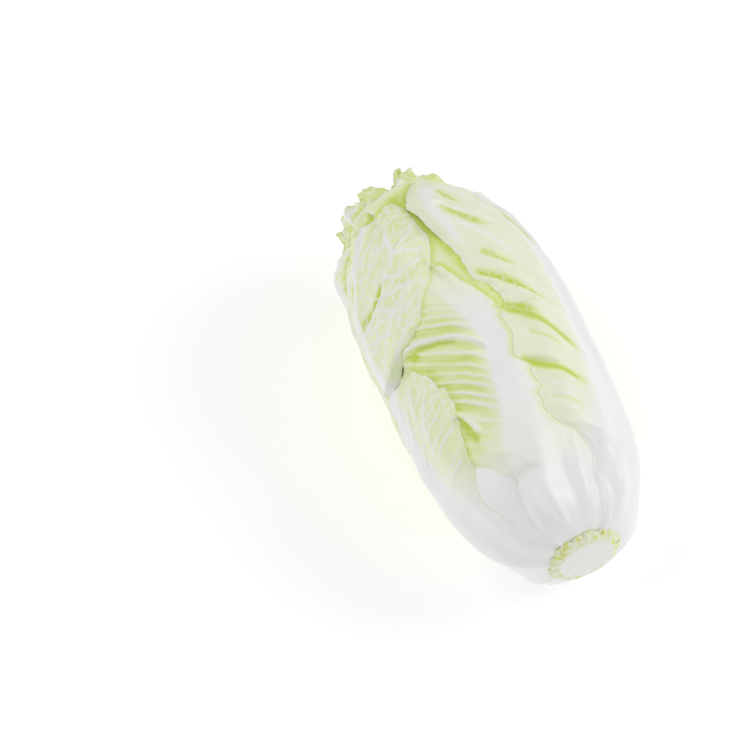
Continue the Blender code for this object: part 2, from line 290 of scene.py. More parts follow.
STANDARD_SIDE = ((0, 30), (30, 34), (70, 46), (120, 64), (180, 72), (225, 60), (250, 40), (268, 18))
YOUNG_SIDE = ((0, 20), (30, 24), (70, 38), (120, 54), (180, 62), (240, 58), (275, 46), (292, 30))
STANDARD_RIB = ((0, 24, 2.6), (30, 24, 3.8), (80, 19, 4.2), (150, 13, 3.4), (220, 7, 2.0), (270, 4, 0.8))
SLIM_RIB = ((0, 20, 2.0), (40, 18, 2.6), (110, 13, 2.4), (200, 8, 1.6), (290, 4, 0.6))
STANDARD_BAND = ((0, 0, 30), (40, 0, 24), (80, 0, 15), (140, 0, 8), (200, 0, 4), (270, 0, 2))


def stretched(side: Stations, length: float, width: float) -> Stations:
    """The same outline at another length and width.

    Args:
        side: Pairs of row and half-width.
        length: The new last row.
        width: What the half-widths are multiplied by.

    Returns:
        The new outline.
    """
    return tuple((row * length / side[-1][0], across * width) for row, across in side)


@dataclass(frozen=True)
class LeafPlan:
    """A wrapper leaf drawn flat: rows are arcs on its midrib, x is the distance from it."""

    node: str
    midrib: Stations  # (arc, azimuth)
    left: Stations  # (row, half-width) on the side of falling azimuths
    right: Stations = ()  # and on the other side, where it differs
    rib: Stations = STANDARD_RIB  # (row, half-width, height) of the thick white rib
    band: Stations = STANDARD_BAND  # (row, middle, half-width) of its white
    wave: float = 0.8  # height of the waves of the margin
    phase: float = 0.0
    columns: int = 84
    rows: int = 150
    pitch: float = 9.0  # of the side ribs
    ridge: float = 0.9  # height of the side ribs
    ridge_width: float = 1.2
    rib_rows: tuple[float, ...] = ()  # where each of them starts, instead of the pitch
    climb: float = 0.36  # rise of the side ribs over the rows
    fork: Stations = ((0, 7), (300, 7))  # (row, how far they run up the midrib before they turn outwards)
    plain_right: float = 0.0  # how white and ribless the blade is right of the midrib
    lobe: float = 2.4  # depth of the lobes of the margin
    teeth: Stations = ((0, 0.75), (300, 0.75))  # (row, depth of its teeth)
    thread: float = 0.4  # how white the net of veins is
    cell: float = 6.0  # size of its cells
    puff: float = 0.3  # height of its cells
    swell: float = 0.45  # height of its broad swellings
    pale: float = 0.1  # how white its blade is at least, outside the folds
    cover_shade: float = 0.4  # painted shade: how much darker and greener it is beside the margin of a leaf that lies on it
    edge: Stations = ((0, 0.4), (40, 0.3), (90, 0.0), (300, 0.0))  # (row, how green the margin is)
    vigour: Stations = ((0, 1), (300, 1))  # (row, strength of the side ribs and their valleys)
    valley: float = 0.3  # how green the blade is between them: its own green, with painted shade in the valleys
    bleached: float = 70.0  # below this row the blade turns white
    spread: float = 0.25  # and lower down, by this much, away from the midrib
    curl: float = 2.0  # how far the tip rolls outwards
    blush: float = 0.35  # how green the tip is
    strokes: tuple[Stroke, ...] = ()  # veins and creases of the outer skin
    raised: tuple[Stroke, ...] = ()  # folds that lift both skins

    @property
    def tip(self) -> float:
        """The row at which the leaf ends."""
        return self.left[-1][0]

    @property
    def seed(self) -> int:
        """The seed of its ripples."""
        return int(self.phase * 10)

    @property
    def piece(self) -> str:
        """The name of the piece that shows the leaf."""
        return self.node.replace("leaf_", "wrapper_")


LEAVES: tuple[LeafPlan, ...] = (
    LeafPlan("leaf_inner_back", ((0, 152), (290, 140)), YOUNG_SIDE, rib=SLIM_RIB, wave=3.2, phase=0.4,
             valley=0.45, blush=0.7, curl=3.0),
    LeafPlan("leaf_inner_left", ((0, -48), (200, -58), (290, -64)), (*YOUNG_SIDE[:6], (270, 46), (285, 26)),
             (*YOUNG_SIDE[:6], (266, 46), (285, 20)), SLIM_RIB, wave=3.2, phase=1.9, valley=0.35, pitch=15.0,
             ridge=0.3, thread=0.15, blush=0.5, curl=5.0, strokes=(
                 crease((252, 6), (248, 17), (244, 28), width=4.6, depth=3.0, green_and_shade=1.0),
                 vein((262, 10), (262, 21), (258, 32), width=3.6, height=3.2, white=0.45),
                 trough((272, -16), (266, -2), (270, 12), (272, 26), width=3.6, depth=2.6, green_and_shade=0.75),
                 vein((280, -20), (278, 0), (280, 22), width=3.4, height=2.4, white=0.5),
             )),
    LeafPlan("leaf_inner_right", ((0, 52), (290, 42)),
             ((0, 22), (30, 28), (70, 44), (120, 62), (180, 71), (225, 70), (245, 62), (262, 44), (280, 26),
              (298, 14)),
             (*YOUNG_SIDE[:7], (298, 26)), SLIM_RIB, vigour=((0, 0.3), (300, 0.3)), wave=2.4, phase=3.1,
             valley=0.5, pitch=15.0, ridge=0.15, thread=0.0, puff=0.05, swell=0.1, cover_shade=0.6, blush=0.6,
             curl=5.0, strokes=(
                 crease((265, -27), (239, -45), (222, -52), (200, -56), (171, -56), (145, -49), width=4.5,
                        depth=0.3, green_and_shade=0.35),
                 crease((272, -20), (258, -36), (250, -48), (246, -58), width=3.0, depth=2.2, green_and_shade=0.9),
                 crease((286, -26), (277, -40), (271, -54), width=2.6, depth=1.8, green_and_shade=0.8),
                 Stroke(((282, -18), (269, -36), (262, -50), (258, -58)), 3.0, 2.4, white=0.75,
                        fade=(0.1, 0.2)),
                 Stroke(((262, -26), (246, -44), (236, -58)), 2.8, 1.8, white=0.35, fade=(0.1, 0.2)),
             ), raised=(Stroke(((290, 20), (282, 32), (274, 40)), 7.0, 7.0),)),
    LeafPlan("leaf_back_left", ((0, -142), (290, -130)), stretched(STANDARD_SIDE, 278, 0.86), rib=SLIM_RIB,
             phase=4.3, valley=0.5, blush=0.6),
    LeafPlan("leaf_side_left", ((0, -64), (60, -66), (150, -80), (256, -88)),
             stretched(STANDARD_SIDE, 256, 0.9),
             ((0, 26), (30, 34), (60, 44), (110, 58), (160, 66), (210, 62), (240, 44), (256, 18)),
             phase=2.6, valley=0.5, blush=0.7, rows=160, strokes=(
                 trough((256, 36), (246, 28.5), (234, 19), (224, 6), (210, -1), width=2.6, depth=2.6,
                        green_and_shade=1.0),
                 vein((246, 33), (241, 23), (237, 11), (229, 1), (216, -5.5), (202, -12), width=1.8,
                      height=1.3),
                 trough((258, 22), (252, 8.5), (244, 2), (234, -4.5), (218, -9), width=2.3, depth=2.2,
                        green_and_shade=1.0),
                 vein((262, 8), (250, -4), (238, -10), (220, -15), width=1.8, height=1.2),
             )),
    LeafPlan("leaf_front",
             ((0, -17), (55, -11), (93, -6), (134, 0), (149, -4), (169, -14), (185, -24), (206, -36)),
             ((0, 12), (14, 19), (28, 21), (36, 20), (39, 25), (44, 30), (51, 44), (70, 56), (110, 64),
              (150, 66), (185, 46), (206, 16)),
             ((0, 26), (30, 38), (60, 46), (85, 44), (115, 24), (136, 9), (147, 6), (167, 7), (183, 9),
              (206, 8)),
             rib=((0, 24, 2.6), (30, 24, 3.8), (80, 19, 4.2), (110, 14, 3.2), (135, 9, 1.6), (160, 6, 0.8),
                  (206, 4, 0.4)),
             band=((0, 0, 34), (34, -2, 22), (57, -3, 13), (76, -3, 9.5), (100, -5, 7.5), (115, -6, 8),
                   (135, -7, 9), (150, -5, 9), (206, 0, 8)),
             rib_rows=(44.8, 50.8, 57.4, 66.3, 71.8, 80.4, 86.8, 94.3, 102.8, 113.8, 124.8, 132.8),
             climb=0.45, fork=((0, 2), (90, 2), (130, 13), (206, 13)), plain_right=0.8, lobe=0.4, phase=5.2,
             wave=0.15, columns=156, rows=280, pitch=8.4, ridge=1.35, ridge_width=1.15, valley=0.95,
             thread=0.15, bleached=28.0, curl=0.2, puff=0.2, swell=0.3,
             vigour=((0, 0.5), (60, 0.7), (86, 1), (128, 1), (148, 0.7), (162, 0.15), (206, 0.1)),
             strokes=(
                 vein((115, -13), (125, -24.6), (129, -37), (131.5, -47), (131, -55), (127, -61),
                      (119, -62.5), width=1.9, height=2.0, white=0.95),
                 crease((121, -24), (125, -36), (127, -46), (125.5, -54), width=1.5, depth=1.8, green_and_shade=0.9),
                 crease((125.5, -49), (123, -57), width=3.2, depth=2.4, green_and_shade=1.0),
                 crease((63, -4.3), (44, -4.6), (14, -9.7), width=3.4, depth=0.5, green_and_shade=0.0),
                 crease((68, 16.6), (40, 19.5), (12, 18), width=4.0, depth=0.6, green_and_shade=0.0),
                 vein((76, -36), (74.5, -34.7), (67.7, -29.2), (61, -26), width=2.0, height=2.8, white=0.8),
                 crease((78, -40), (70, -34), (62, -31), (54, -29), width=2.2, depth=1.8, green_and_shade=1.0),
             )),
    LeafPlan("leaf_back_right", ((0, 118), (270, 112)), stretched(STANDARD_SIDE, 276, 0.9), phase=0.9,
             valley=0.5, blush=0.6),
    LeafPlan("leaf_wrap_left", ((0, -98), (60, -92), (120, -82), (180, -68), (220, -52), (247, -42)),
             ((0, 32), (40, 40), (90, 50), (150, 46), (192, 38), (210, 27), (222, 14), (232, 5), (246, 1)),
             ((0, 26), (5, 28), (13, 29), (18, 32), (39, 33), (49, 39), (63, 44), (71, 46), (85, 45),
              (100, 40), (111, 35), (122, 27), (131, 20), (138, 11), (140, 31), (142, 38), (147, 42),
              (152, 45), (160, 49), (170, 51.5), (186, 52), (195, 50), (209, 45), (228, 37), (238, 32),
              (246, 25)),
             band=((0, 0, 36), (40, 0, 26), (80, 2, 12), (113, 6, 5), (154, 1, 3.4), (182, -3, 2.6),
                   (224, 3, 1.8), (247, 4, 1.2)),
             phase=3.7, wave=0.15, columns=156, rows=280, pitch=17.0, ridge=0.2, valley=0.38, pale=0.08,
             thread=0.85, cell=5.8, bleached=50.0, spread=0.8, blush=0.2, curl=0.15, lobe=0.5, puff=0.35,
             teeth=((0, 0.9), (140, 1.1), (170, 0.5), (256, 0.5)),
             edge=((0, 0.2), (30, 0.5), (60, 0.5), (100, 0.15), (140, 0.0), (256, 0.0)),
             strokes=(
                 Stroke(((174, -4.5), (175, 11.5), (178, 21), (188, 23), (190, 27), (195, 30.5), (203, 28),
                         (210, 25), (226, 23)), 1.25, 1.0, white=1.0, fade=(0.1, 0.15)),
                 *veins(((195, 30.5), (202, 34), (209, 38), (216, 41)),
                        ((195, 30.5), (194, 37), (190, 43), (186, 48)),
                        ((210, 25), (208, 20), (213, 12)),
                        ((188, 23), (178, 35), (182, 45), (182, 50)),
                        ((178, 20.5), (172, 31), (165, 45)),
                        ((174, 16.5), (162, 29), (153, 41)),
                        ((172, 5.5), (164, 22.5), (156, 35)), width=1.1),
                 *veins(((171, -3), (160, 14), (150, 28)),
                        ((78.6, 11.3), (88, 17.4), (92, 22), (104, 30)),
                        ((71, 21.8), (79.4, 25), (84.4, 29), (86, 41)),
                        ((67.4, 26.8), (69.5, 31.5), (70.7, 36), (70, 44)),
                        ((72, 24.5), (88, 25.5), (103, 29), (113, 34)),
                        ((86, 19), (104, 20), (122, 20)),
                        ((50, 20), (54, 28.5), (56, 40)),
                        ((112.8, 7), (122.5, 8), (132.4, 11), (136, 14)),
                        ((94, 9.3), (104.7, 11.8), (114.8, 18), (124, 22))),
                 trough((188, 20.5), (186, 20), (182, 17.5), (180, 10.5), (180, 2), (176, -6), width=1.8,
                        depth=2.4, green_and_shade=1.0),
                 trough((234, -2), (226, -10), (215, -17), (200, -19), (188, -17), (174, -12), width=2.8,
                        depth=2.8, green_and_shade=1.0),
                 Stroke(((236, 10), (230, 1.5), (224, -3), (216, -6.5), (204, -9), (190, -10.5), (176, -7.5),
                         (158, -4)), 1.9, 1.3, white=0.95, fade=(0.1, 0.2)),
                 Stroke(((218, -22), (206, -25), (190, -22), (172, -16), (156, -10)), 1.8, 1.2, white=0.9,
                        fade=(0.1, 0.2)),
                 trough((214, -30), (200, -29), (184, -26), (168, -21), width=1.6, depth=1.6, green_and_shade=0.9),
                 crease((211, -0.6), (201.5, -2.7), (192, -5.7), width=1.4, depth=1.0, green_and_shade=0.6),
             )),
    LeafPlan("leaf_wrap_right", ((0, 70), (90, 68), (140, 66), (190, 60), (220, 54), (266, 44)),
             ((0, 26), (12, 33), (19, 37), (33, 40), (40, 50), (45, 60), (50, 64), (56, 65.5), (64, 63),
              (70, 63.5), (77, 64), (80, 68.5), (90, 69.5), (100, 67.5), (112, 67), (122, 64.5), (124, 62),
              (133, 62), (138, 63), (141, 67), (155, 68.5), (173, 68.5), (184, 68), (200, 66.5), (229, 57),
              (243, 48), (255, 36), (266, 20)),
             ((0, 40), (40, 46), (90, 58), (150, 70), (200, 66), (240, 46), (266, 20)),
             band=((0, 0, 44), (40, 0, 40), (80, 0, 30), (140, 0, 18), (200, 0, 9), (240, 0, 4), (266, 0, 2)),
             phase=1.2, wave=0.15, columns=156, rows=280, pitch=19.0, ridge=0.6, valley=0.3, bleached=96.0,
             spread=1.65, swell=0.3, blush=0.3, curl=1.2, lobe=0.7, pale=0.36,
             teeth=((0, 0.9), (140, 1.4), (170, 0.45), (266, 0.5)),
             edge=((0, 0.8), (30, 0.7), (46, 0.15), (60, 0.0), (266, 0.0)),
             strokes=(
                 trough((242, -44), (233, -39.5), (223, -38), (214, -34), width=4.0, depth=2.8, green_and_shade=1.0),
                 trough((213, -50), (203, -47.5), (195, -43), (187, -38), width=4.6, depth=3.0, green_and_shade=1.0),
                 trough((166, -56), (160, -50), (155, -40), width=2.6, depth=1.4, green_and_shade=0.7),
                 trough((150, -68), (141, -51), (135.5, -41), (130, -27), width=2.8, depth=2.4, green_and_shade=1.0),
                 trough((131, -66), (120.7, -55.4), (112, -46), width=2.3, depth=1.8, green_and_shade=1.0),
                 trough((124, -67), (111, -52), (105.5, -40.3), (98.5, -29.3), (90, -18), width=3.3,
                        depth=3.0, green_and_shade=1.0),
                 trough((80, -70), (74.4, -53.5), (71, -41.7), (66, -28), width=2.8, depth=2.4, green_and_shade=1.0),
                 trough((100, -58), (93, -46), (88, -36), width=1.8, depth=0.9, green_and_shade=0.5),
                 trough((58, -60), (54, -48), (52, -38), width=1.6, depth=0.7, green_and_shade=0.4),
                 trough((240, -8), (226, -6), (212, -4.5), (196, -4), (184, 1), width=1.5, depth=1.8,
                        green_and_shade=1.0),
                 vein((240, -38), (222, -50), (200, -59), (178, -62), (160, -60), width=4.2, height=0.6),
                 *veins(((58, -30), (62, -48), (66, -62)),
                        ((52, -30), (56, -46), (59, -63)),
                        ((47, -29), (49, -45), (51, -61)), width=1.1, height=0.4, white=0.8),
                 vein((41, -32), (43, -46), (44, -57), width=1.1, height=0.4, white=0.7),
                 vein((214, -50), (202, -40), (194, -26), width=3.0, height=0.4, white=0.7),
                 vein((192, -56), (178, -44), (167, -30), width=4.0, height=0.4, white=0.75),
                 vein((236, -36), (228, -24), (216, -16), width=3.0, height=0.3, white=0.6),
             ), raised=(Stroke(((232, -44), (215, -54), (196, -62), (176, -64)), 8.0, 4.0),)),
    LeafPlan("leaf_under", ((0, 180), (150, 184), (270, 185)),
             ((0, 30), (40, 40), (100, 54), (170, 60), (220, 50), (250, 34), (266, 18)),
             rib=((0, 26, 3.0), (30, 28, 5.0), (80, 25, 5.4), (150, 21, 4.8), (220, 12, 2.6), (270, 5, 0.8)),
             wave=0.6, phase=4.9, valley=0.4, blush=0.5),
)


class LeafForm:
    """The form and colouring of one leaf over its bed, at points of the flat leaf."""

    rim_white = 0.35  # how white the thin margin is
    rim_width = 1.8
    root_green = (0.45, 6.0)  # how much less white the cut base is, and over how many rows
    bleach_over = 45.0  # rows over which the white base turns into blade
    blade_lead = 25.0  # by how many rows its relief starts before its colour
    plain_end = 60.0  # the plain side of a leaf ends this far below its tip
    plain_fade = 40.0
    band_edge = (0.7, 0.6)  # where the white band fades and over what width, in its half-widths
    rib_start = (0.55, 0.7)  # and where the side ribs rise out of it
    blade_start = (0.9, 1.2)  # and where the green blade does
    warps = ((1.3, 46.0), (0.4, 13.0))  # height and length of the bends of the side ribs
    offset = 3.1  # by which the right side ribs start lower than the left ones
    fork_start = 9.0  # from the midrib: beyond here they turn outwards
    rib_fade = (18.0, 25.0)  # from the midrib: where they weaken, and over what width
    rib_loss = 0.4  # how much they weaken
    rib_flare = (1.3, 12.0)  # how much wider they are at the midrib, and how soon that ends
    thin_start = (24.0, 14.0)  # from the midrib: where a thin vein shows between them
    thin_height = 0.35
    thin_width = 0.7
    groove_start = (6.0, 26.0)  # from the midrib: where the valleys between them deepen
    groove_width = 0.28  # of a valley, as a share of the pitch
    groove_depth = 0.35
    swell_length = 23.0
    pucker_length = 9.0
    pucker_height = 0.12
    net_fade = 40.0  # rows over which the net of veins comes in
    thread_width = 0.22  # of its veins, as a share of a cell
    thread_height = 0.8
    wave_start = (0.45, 0.55)  # where the waves of the margin start, as a share of the half-width
    ruffle_width = 7.0
    ruffle_length = 9.7
    flute_height = 0.22  # of the fine ribs on the white parts
    flute_width = 2.6
    relief_start = 3.0  # from the margin: relief grows over this width
    thinnest = 0.25  # of a leaf, in a crease

    def __init__(self, wrapping: "Wrapping", leaf: LeafPlan, x: Array, row: Array, outside: Array) -> None:
        """Works out where the points lie on the leaf.

        Args:
            wrapping: How the leaves wrap the heart.
            leaf: The leaf.
            x: Signed distances from the midrib.
            row: Rows of the points.
            outside: How far they lie outside the leaves that cover it.
        """
        self.wrapping, self.leaf, self.x, self.row = wrapping, leaf, x, row
        self.free = 1.0 - smoothstep(-outside / wrapping.shelter)
        # Where painted shade falls: beside the margin of a leaf that covers this one.
        self.cover_shade = 1.0 - smoothstep(outside / wrapping.cover_shade)
        self.seed = leaf.seed
        self.reach = np.abs(x)
        left, right = (wrapping.edge_at(leaf, side, row) for side in (-1.0, 1.0))
        self.u = np.clip(x / np.where(x < 0.0, left, right), -1.0, 1.0)
        beyond = np.maximum(leaf.tip - row, 0.0)
        self.margin = np.maximum(np.minimum(np.minimum(right - x, left + x), beyond + 0.5), 0.0)
        self.inward = smoothstep(self.margin / wrapping.settle)
        self.near_tip = smoothstep(1.0 - beyond / wrapping.tip_reach)
        self.tip_edge = smoothstep(1.0 - beyond / wrapping.roll_reach)
        self.base = smoothstep(row / wrapping.ramp)
        rows, middles, halves = np.array(leaf.band).T
        self.from_band = np.abs(x - flow(row, np.c_[rows, middles])) / flow(row, np.c_[rows, halves])
        plain = leaf.plain_right * (x > 0.0) * rising(leaf.tip - self.plain_end, row, self.plain_fade)
        self.band = np.maximum(1.0 - rising(self.from_band, *self.band_edge), plain)
        self.ribbed = 1.0 - plain
        self.swell = Ripple(self.swell_length, 3 + self.seed).at(row, x)
        self.pucker = Ripple(self.pucker_length, 5 + self.seed).at(row, x)
        self.ribs()
        self.net()

    def ribs(self) -> None:
        """The side ribs, which leave the midrib along it and then turn outwards, and their valleys."""
        wrapping, leaf, row, reach = self.wrapping, self.leaf, self.row, self.reach
        warp = sum(height * Ripple(length, self.seed).at(row, self.x) for height, length in self.warps)
        fork = flow(row, leaf.fork) * np.exp(-np.maximum(reach - self.fork_start, 0.0) / wrapping.turn)
        start = row - leaf.climb * reach + fork + warp
        place = (start + self.offset * (self.x > 0.0)) / leaf.pitch
        if leaf.rib_rows:
            first, last = leaf.rib_rows[0], leaf.rib_rows[-1]
            place = np.interp(start, leaf.rib_rows, np.arange(len(leaf.rib_rows)))
            place = place + np.minimum(start - first, 0.0) / leaf.pitch
            place = place + np.maximum(start - last, 0.0) / leaf.pitch
        number = np.floor(place + 0.5)
        off = (place - number) * leaf.pitch
        between = np.abs(place - np.floor(place) - wrapping.trough) * leaf.pitch
        vigour = flow(row, leaf.vigour) * (1.0 - self.rib_loss * rising(reach, *self.rib_fade))
        strength = (0.75 + 0.25 * np.sin(5.3 * number + leaf.phase)) * vigour
        girth = leaf.ridge_width + self.rib_flare[0] * np.exp(-reach / self.rib_flare[1])
        thin = np.exp(-((between / self.thin_width) ** 2))
        thin = self.thin_height * rising(reach, *self.thin_start) * thin
        open_blade = row - leaf.bleached + leaf.spread * reach + self.blade_lead
        open_blade = smoothstep(open_blade / self.bleach_over)
        out = rising(self.from_band, *self.rib_start) * smoothstep(self.margin / 12.0 + 0.15)
        ridge = np.maximum(strength * np.exp(-((off / girth) ** 2)), thin)
        self.ridge = ridge * out * open_blade * self.ribbed
        groove = np.exp(-((between / (self.groove_width * leaf.pitch)) ** 2))
        groove = groove * (0.7 + 0.3 * np.sin(3.7 * np.floor(place))) * flow(row, leaf.vigour)
        groove = groove * out * open_blade * self.ribbed
        self.groove = groove * rising(reach, *self.groove_start)
        self.blade = rising(self.from_band, *self.blade_start) * open_blade * self.ribbed

    def net(self) -> None:
        """The net of veins between the side ribs, and the cells that puff up between them."""
        cells = Net(self.leaf.cell, 7 + self.seed).inside(self.row + 1.2 * self.pucker, self.x - self.swell)
        shown = rising(self.row, self.leaf.bleached, self.net_fade) * (1.0 - self.band)
        self.thread = (1.0 - smoothstep(cells / self.thread_width)) * shown
        self.puff = smoothstep(cells / 0.5) * shown

    def lift(self) -> Array:
        """How far the open leaf stands off its bed: waves, a rolled tip and raised folds.

        Returns:
            The heights in millimetres.
        """
        leaf, row, u = self.leaf, self.row, self.u
        wave = leaf.wave * (0.5 + 0.5 * np.sin(ROUND * row / self.wrapping.wave_pitch + leaf.phase + u))
        wave = wave * rising(np.abs(u), *self.wave_start) * self.base
        roll = 0.45 + 0.55 * np.sin(7.0 * u + leaf.phase) + 0.25 * np.sin(19.0 * u)
        roll = leaf.curl * roll * self.tip_edge
        ruffle = leaf.wave * smoothstep(1.0 - self.margin / self.ruffle_width) * self.base
        ripple = np.sin(ROUND * row / self.ruffle_length + 3.0 * self.swell + leaf.phase)
        ruffle = ruffle * 0.25 * (1.0 + ripple)
        raised = sum((fold.height * fold.nearness(row, self.x) for fold in leaf.raised), np.zeros(row.shape))
        return self.free * (wave + np.maximum(roll, -0.2) + ruffle) + raised

    def skins(self) -> tuple[Array, Array]:
        """Works out the two skins.

        Returns:
            Heights of the inner and the outer skin above the bed.
        """
        wrapping, leaf, row = self.wrapping, self.leaf, self.row
        low = wrapping.margin_gap + (wrapping.gap - wrapping.margin_gap) * self.inward + self.lift()
        blade = wrapping.blade - wrapping.margin_blade
        thick = wrapping.margin_blade + blade * smoothstep(self.margin / wrapping.bevel)
        rib = np.array(leaf.rib)
        thick = thick + flow(row, rib[:, ::2]) * (1.0 - smoothstep(self.reach / flow(row, rib[:, :2])))
        flute = np.sin(self.x / self.flute_width + 1.2 * np.sin(row / 60.0) + leaf.phase)
        flute = self.flute_height * flute * smoothstep(row / 30.0)
        soft = 1.0 - self.band
        form = leaf.ridge * (self.ridge - self.groove_depth * self.groove) + flute * self.band
        thread = self.thread_height * self.thread * leaf.thread
        form = form + leaf.puff * (self.puff * (1.0 - self.ridge) * soft + thread)
        swell = leaf.swell * self.swell + self.pucker_height * self.pucker * soft
        form = form + swell * self.inward * self.base
        for stroke in leaf.strokes:
            form = form + stroke.height * stroke.nearness(row, self.x)
        relief = form * self.free * smoothstep(self.margin / self.relief_start)
        return low, low + thick + np.maximum(relief, self.thinnest - thick)

    def colours(self) -> tuple[Array, Array]:
        """Works out the colouring.

        Returns:
            How white and how deeply green the leaf is, from 0 to 1; that green holds painted shade in folds,
            valleys and beside covering leaves.
        """
        leaf, row = self.leaf, self.row
        rim = 1.0 - smoothstep(self.margin / self.rim_width)
        edge = flow(row, leaf.edge) * rim
        vigour = flow(row, leaf.vigour)
        white = np.maximum(np.maximum(self.band * (0.4 + 0.6 * vigour), 0.95 * self.ridge), leaf.pale)
        # The blade's own green, with painted shade added in the valleys between the side ribs.
        green_and_shade = 0.3 * vigour + 0.7 * self.groove + 0.1 * self.swell
        green_and_shade = leaf.valley * self.blade * green_and_shade * (1.0 - self.ridge)
        # Painted shade: greener beside the margin of a covering leaf.
        green_and_shade = green_and_shade + leaf.cover_shade * self.cover_shade * (1.0 - self.ridge)
        green_and_shade = np.maximum(green_and_shade * (1.0 - 0.7 * rim), edge)
        green_and_shade = green_and_shade + leaf.blush * self.near_tip * (0.7 + 0.5 * self.pucker) * (1.0 - self.ridge)
        # Veins whiten the leaf; creases and troughs green it, painted shade at their bottoms.
        for stroke in leaf.strokes:
            near = stroke.nearness(row, self.x)
            white = np.maximum(white * (1.0 - stroke.green_and_shade * near), stroke.white * near)
            green_and_shade = green_and_shade * (1.0 - stroke.white * near) + stroke.green_and_shade * near
        # Painted shade: less white beside the margin of a covering leaf, except near the base.
        white = white * (1.0 - min(2.0 * leaf.cover_shade, 1.0) * self.cover_shade * smoothstep(row / 100.0))
        bleach = 1.0 - smoothstep((row - leaf.bleached + leaf.spread * self.reach) / self.bleach_over)
        root = self.root_green[0] * (1.0 - smoothstep(row / self.root_green[1]))
        root = root * (0.6 + 0.4 * self.pucker)
        white = np.maximum(np.maximum(white, leaf.thread * self.thread), bleach * (1.0 - 0.7 * edge - root))
        white = np.clip(np.maximum(white, self.rim_white * rim * (1.0 - edge)), 0.0, 1.0)
        return white, np.clip(green_and_shade * (1.0 - 0.9 * white), 0.0, 1.0)


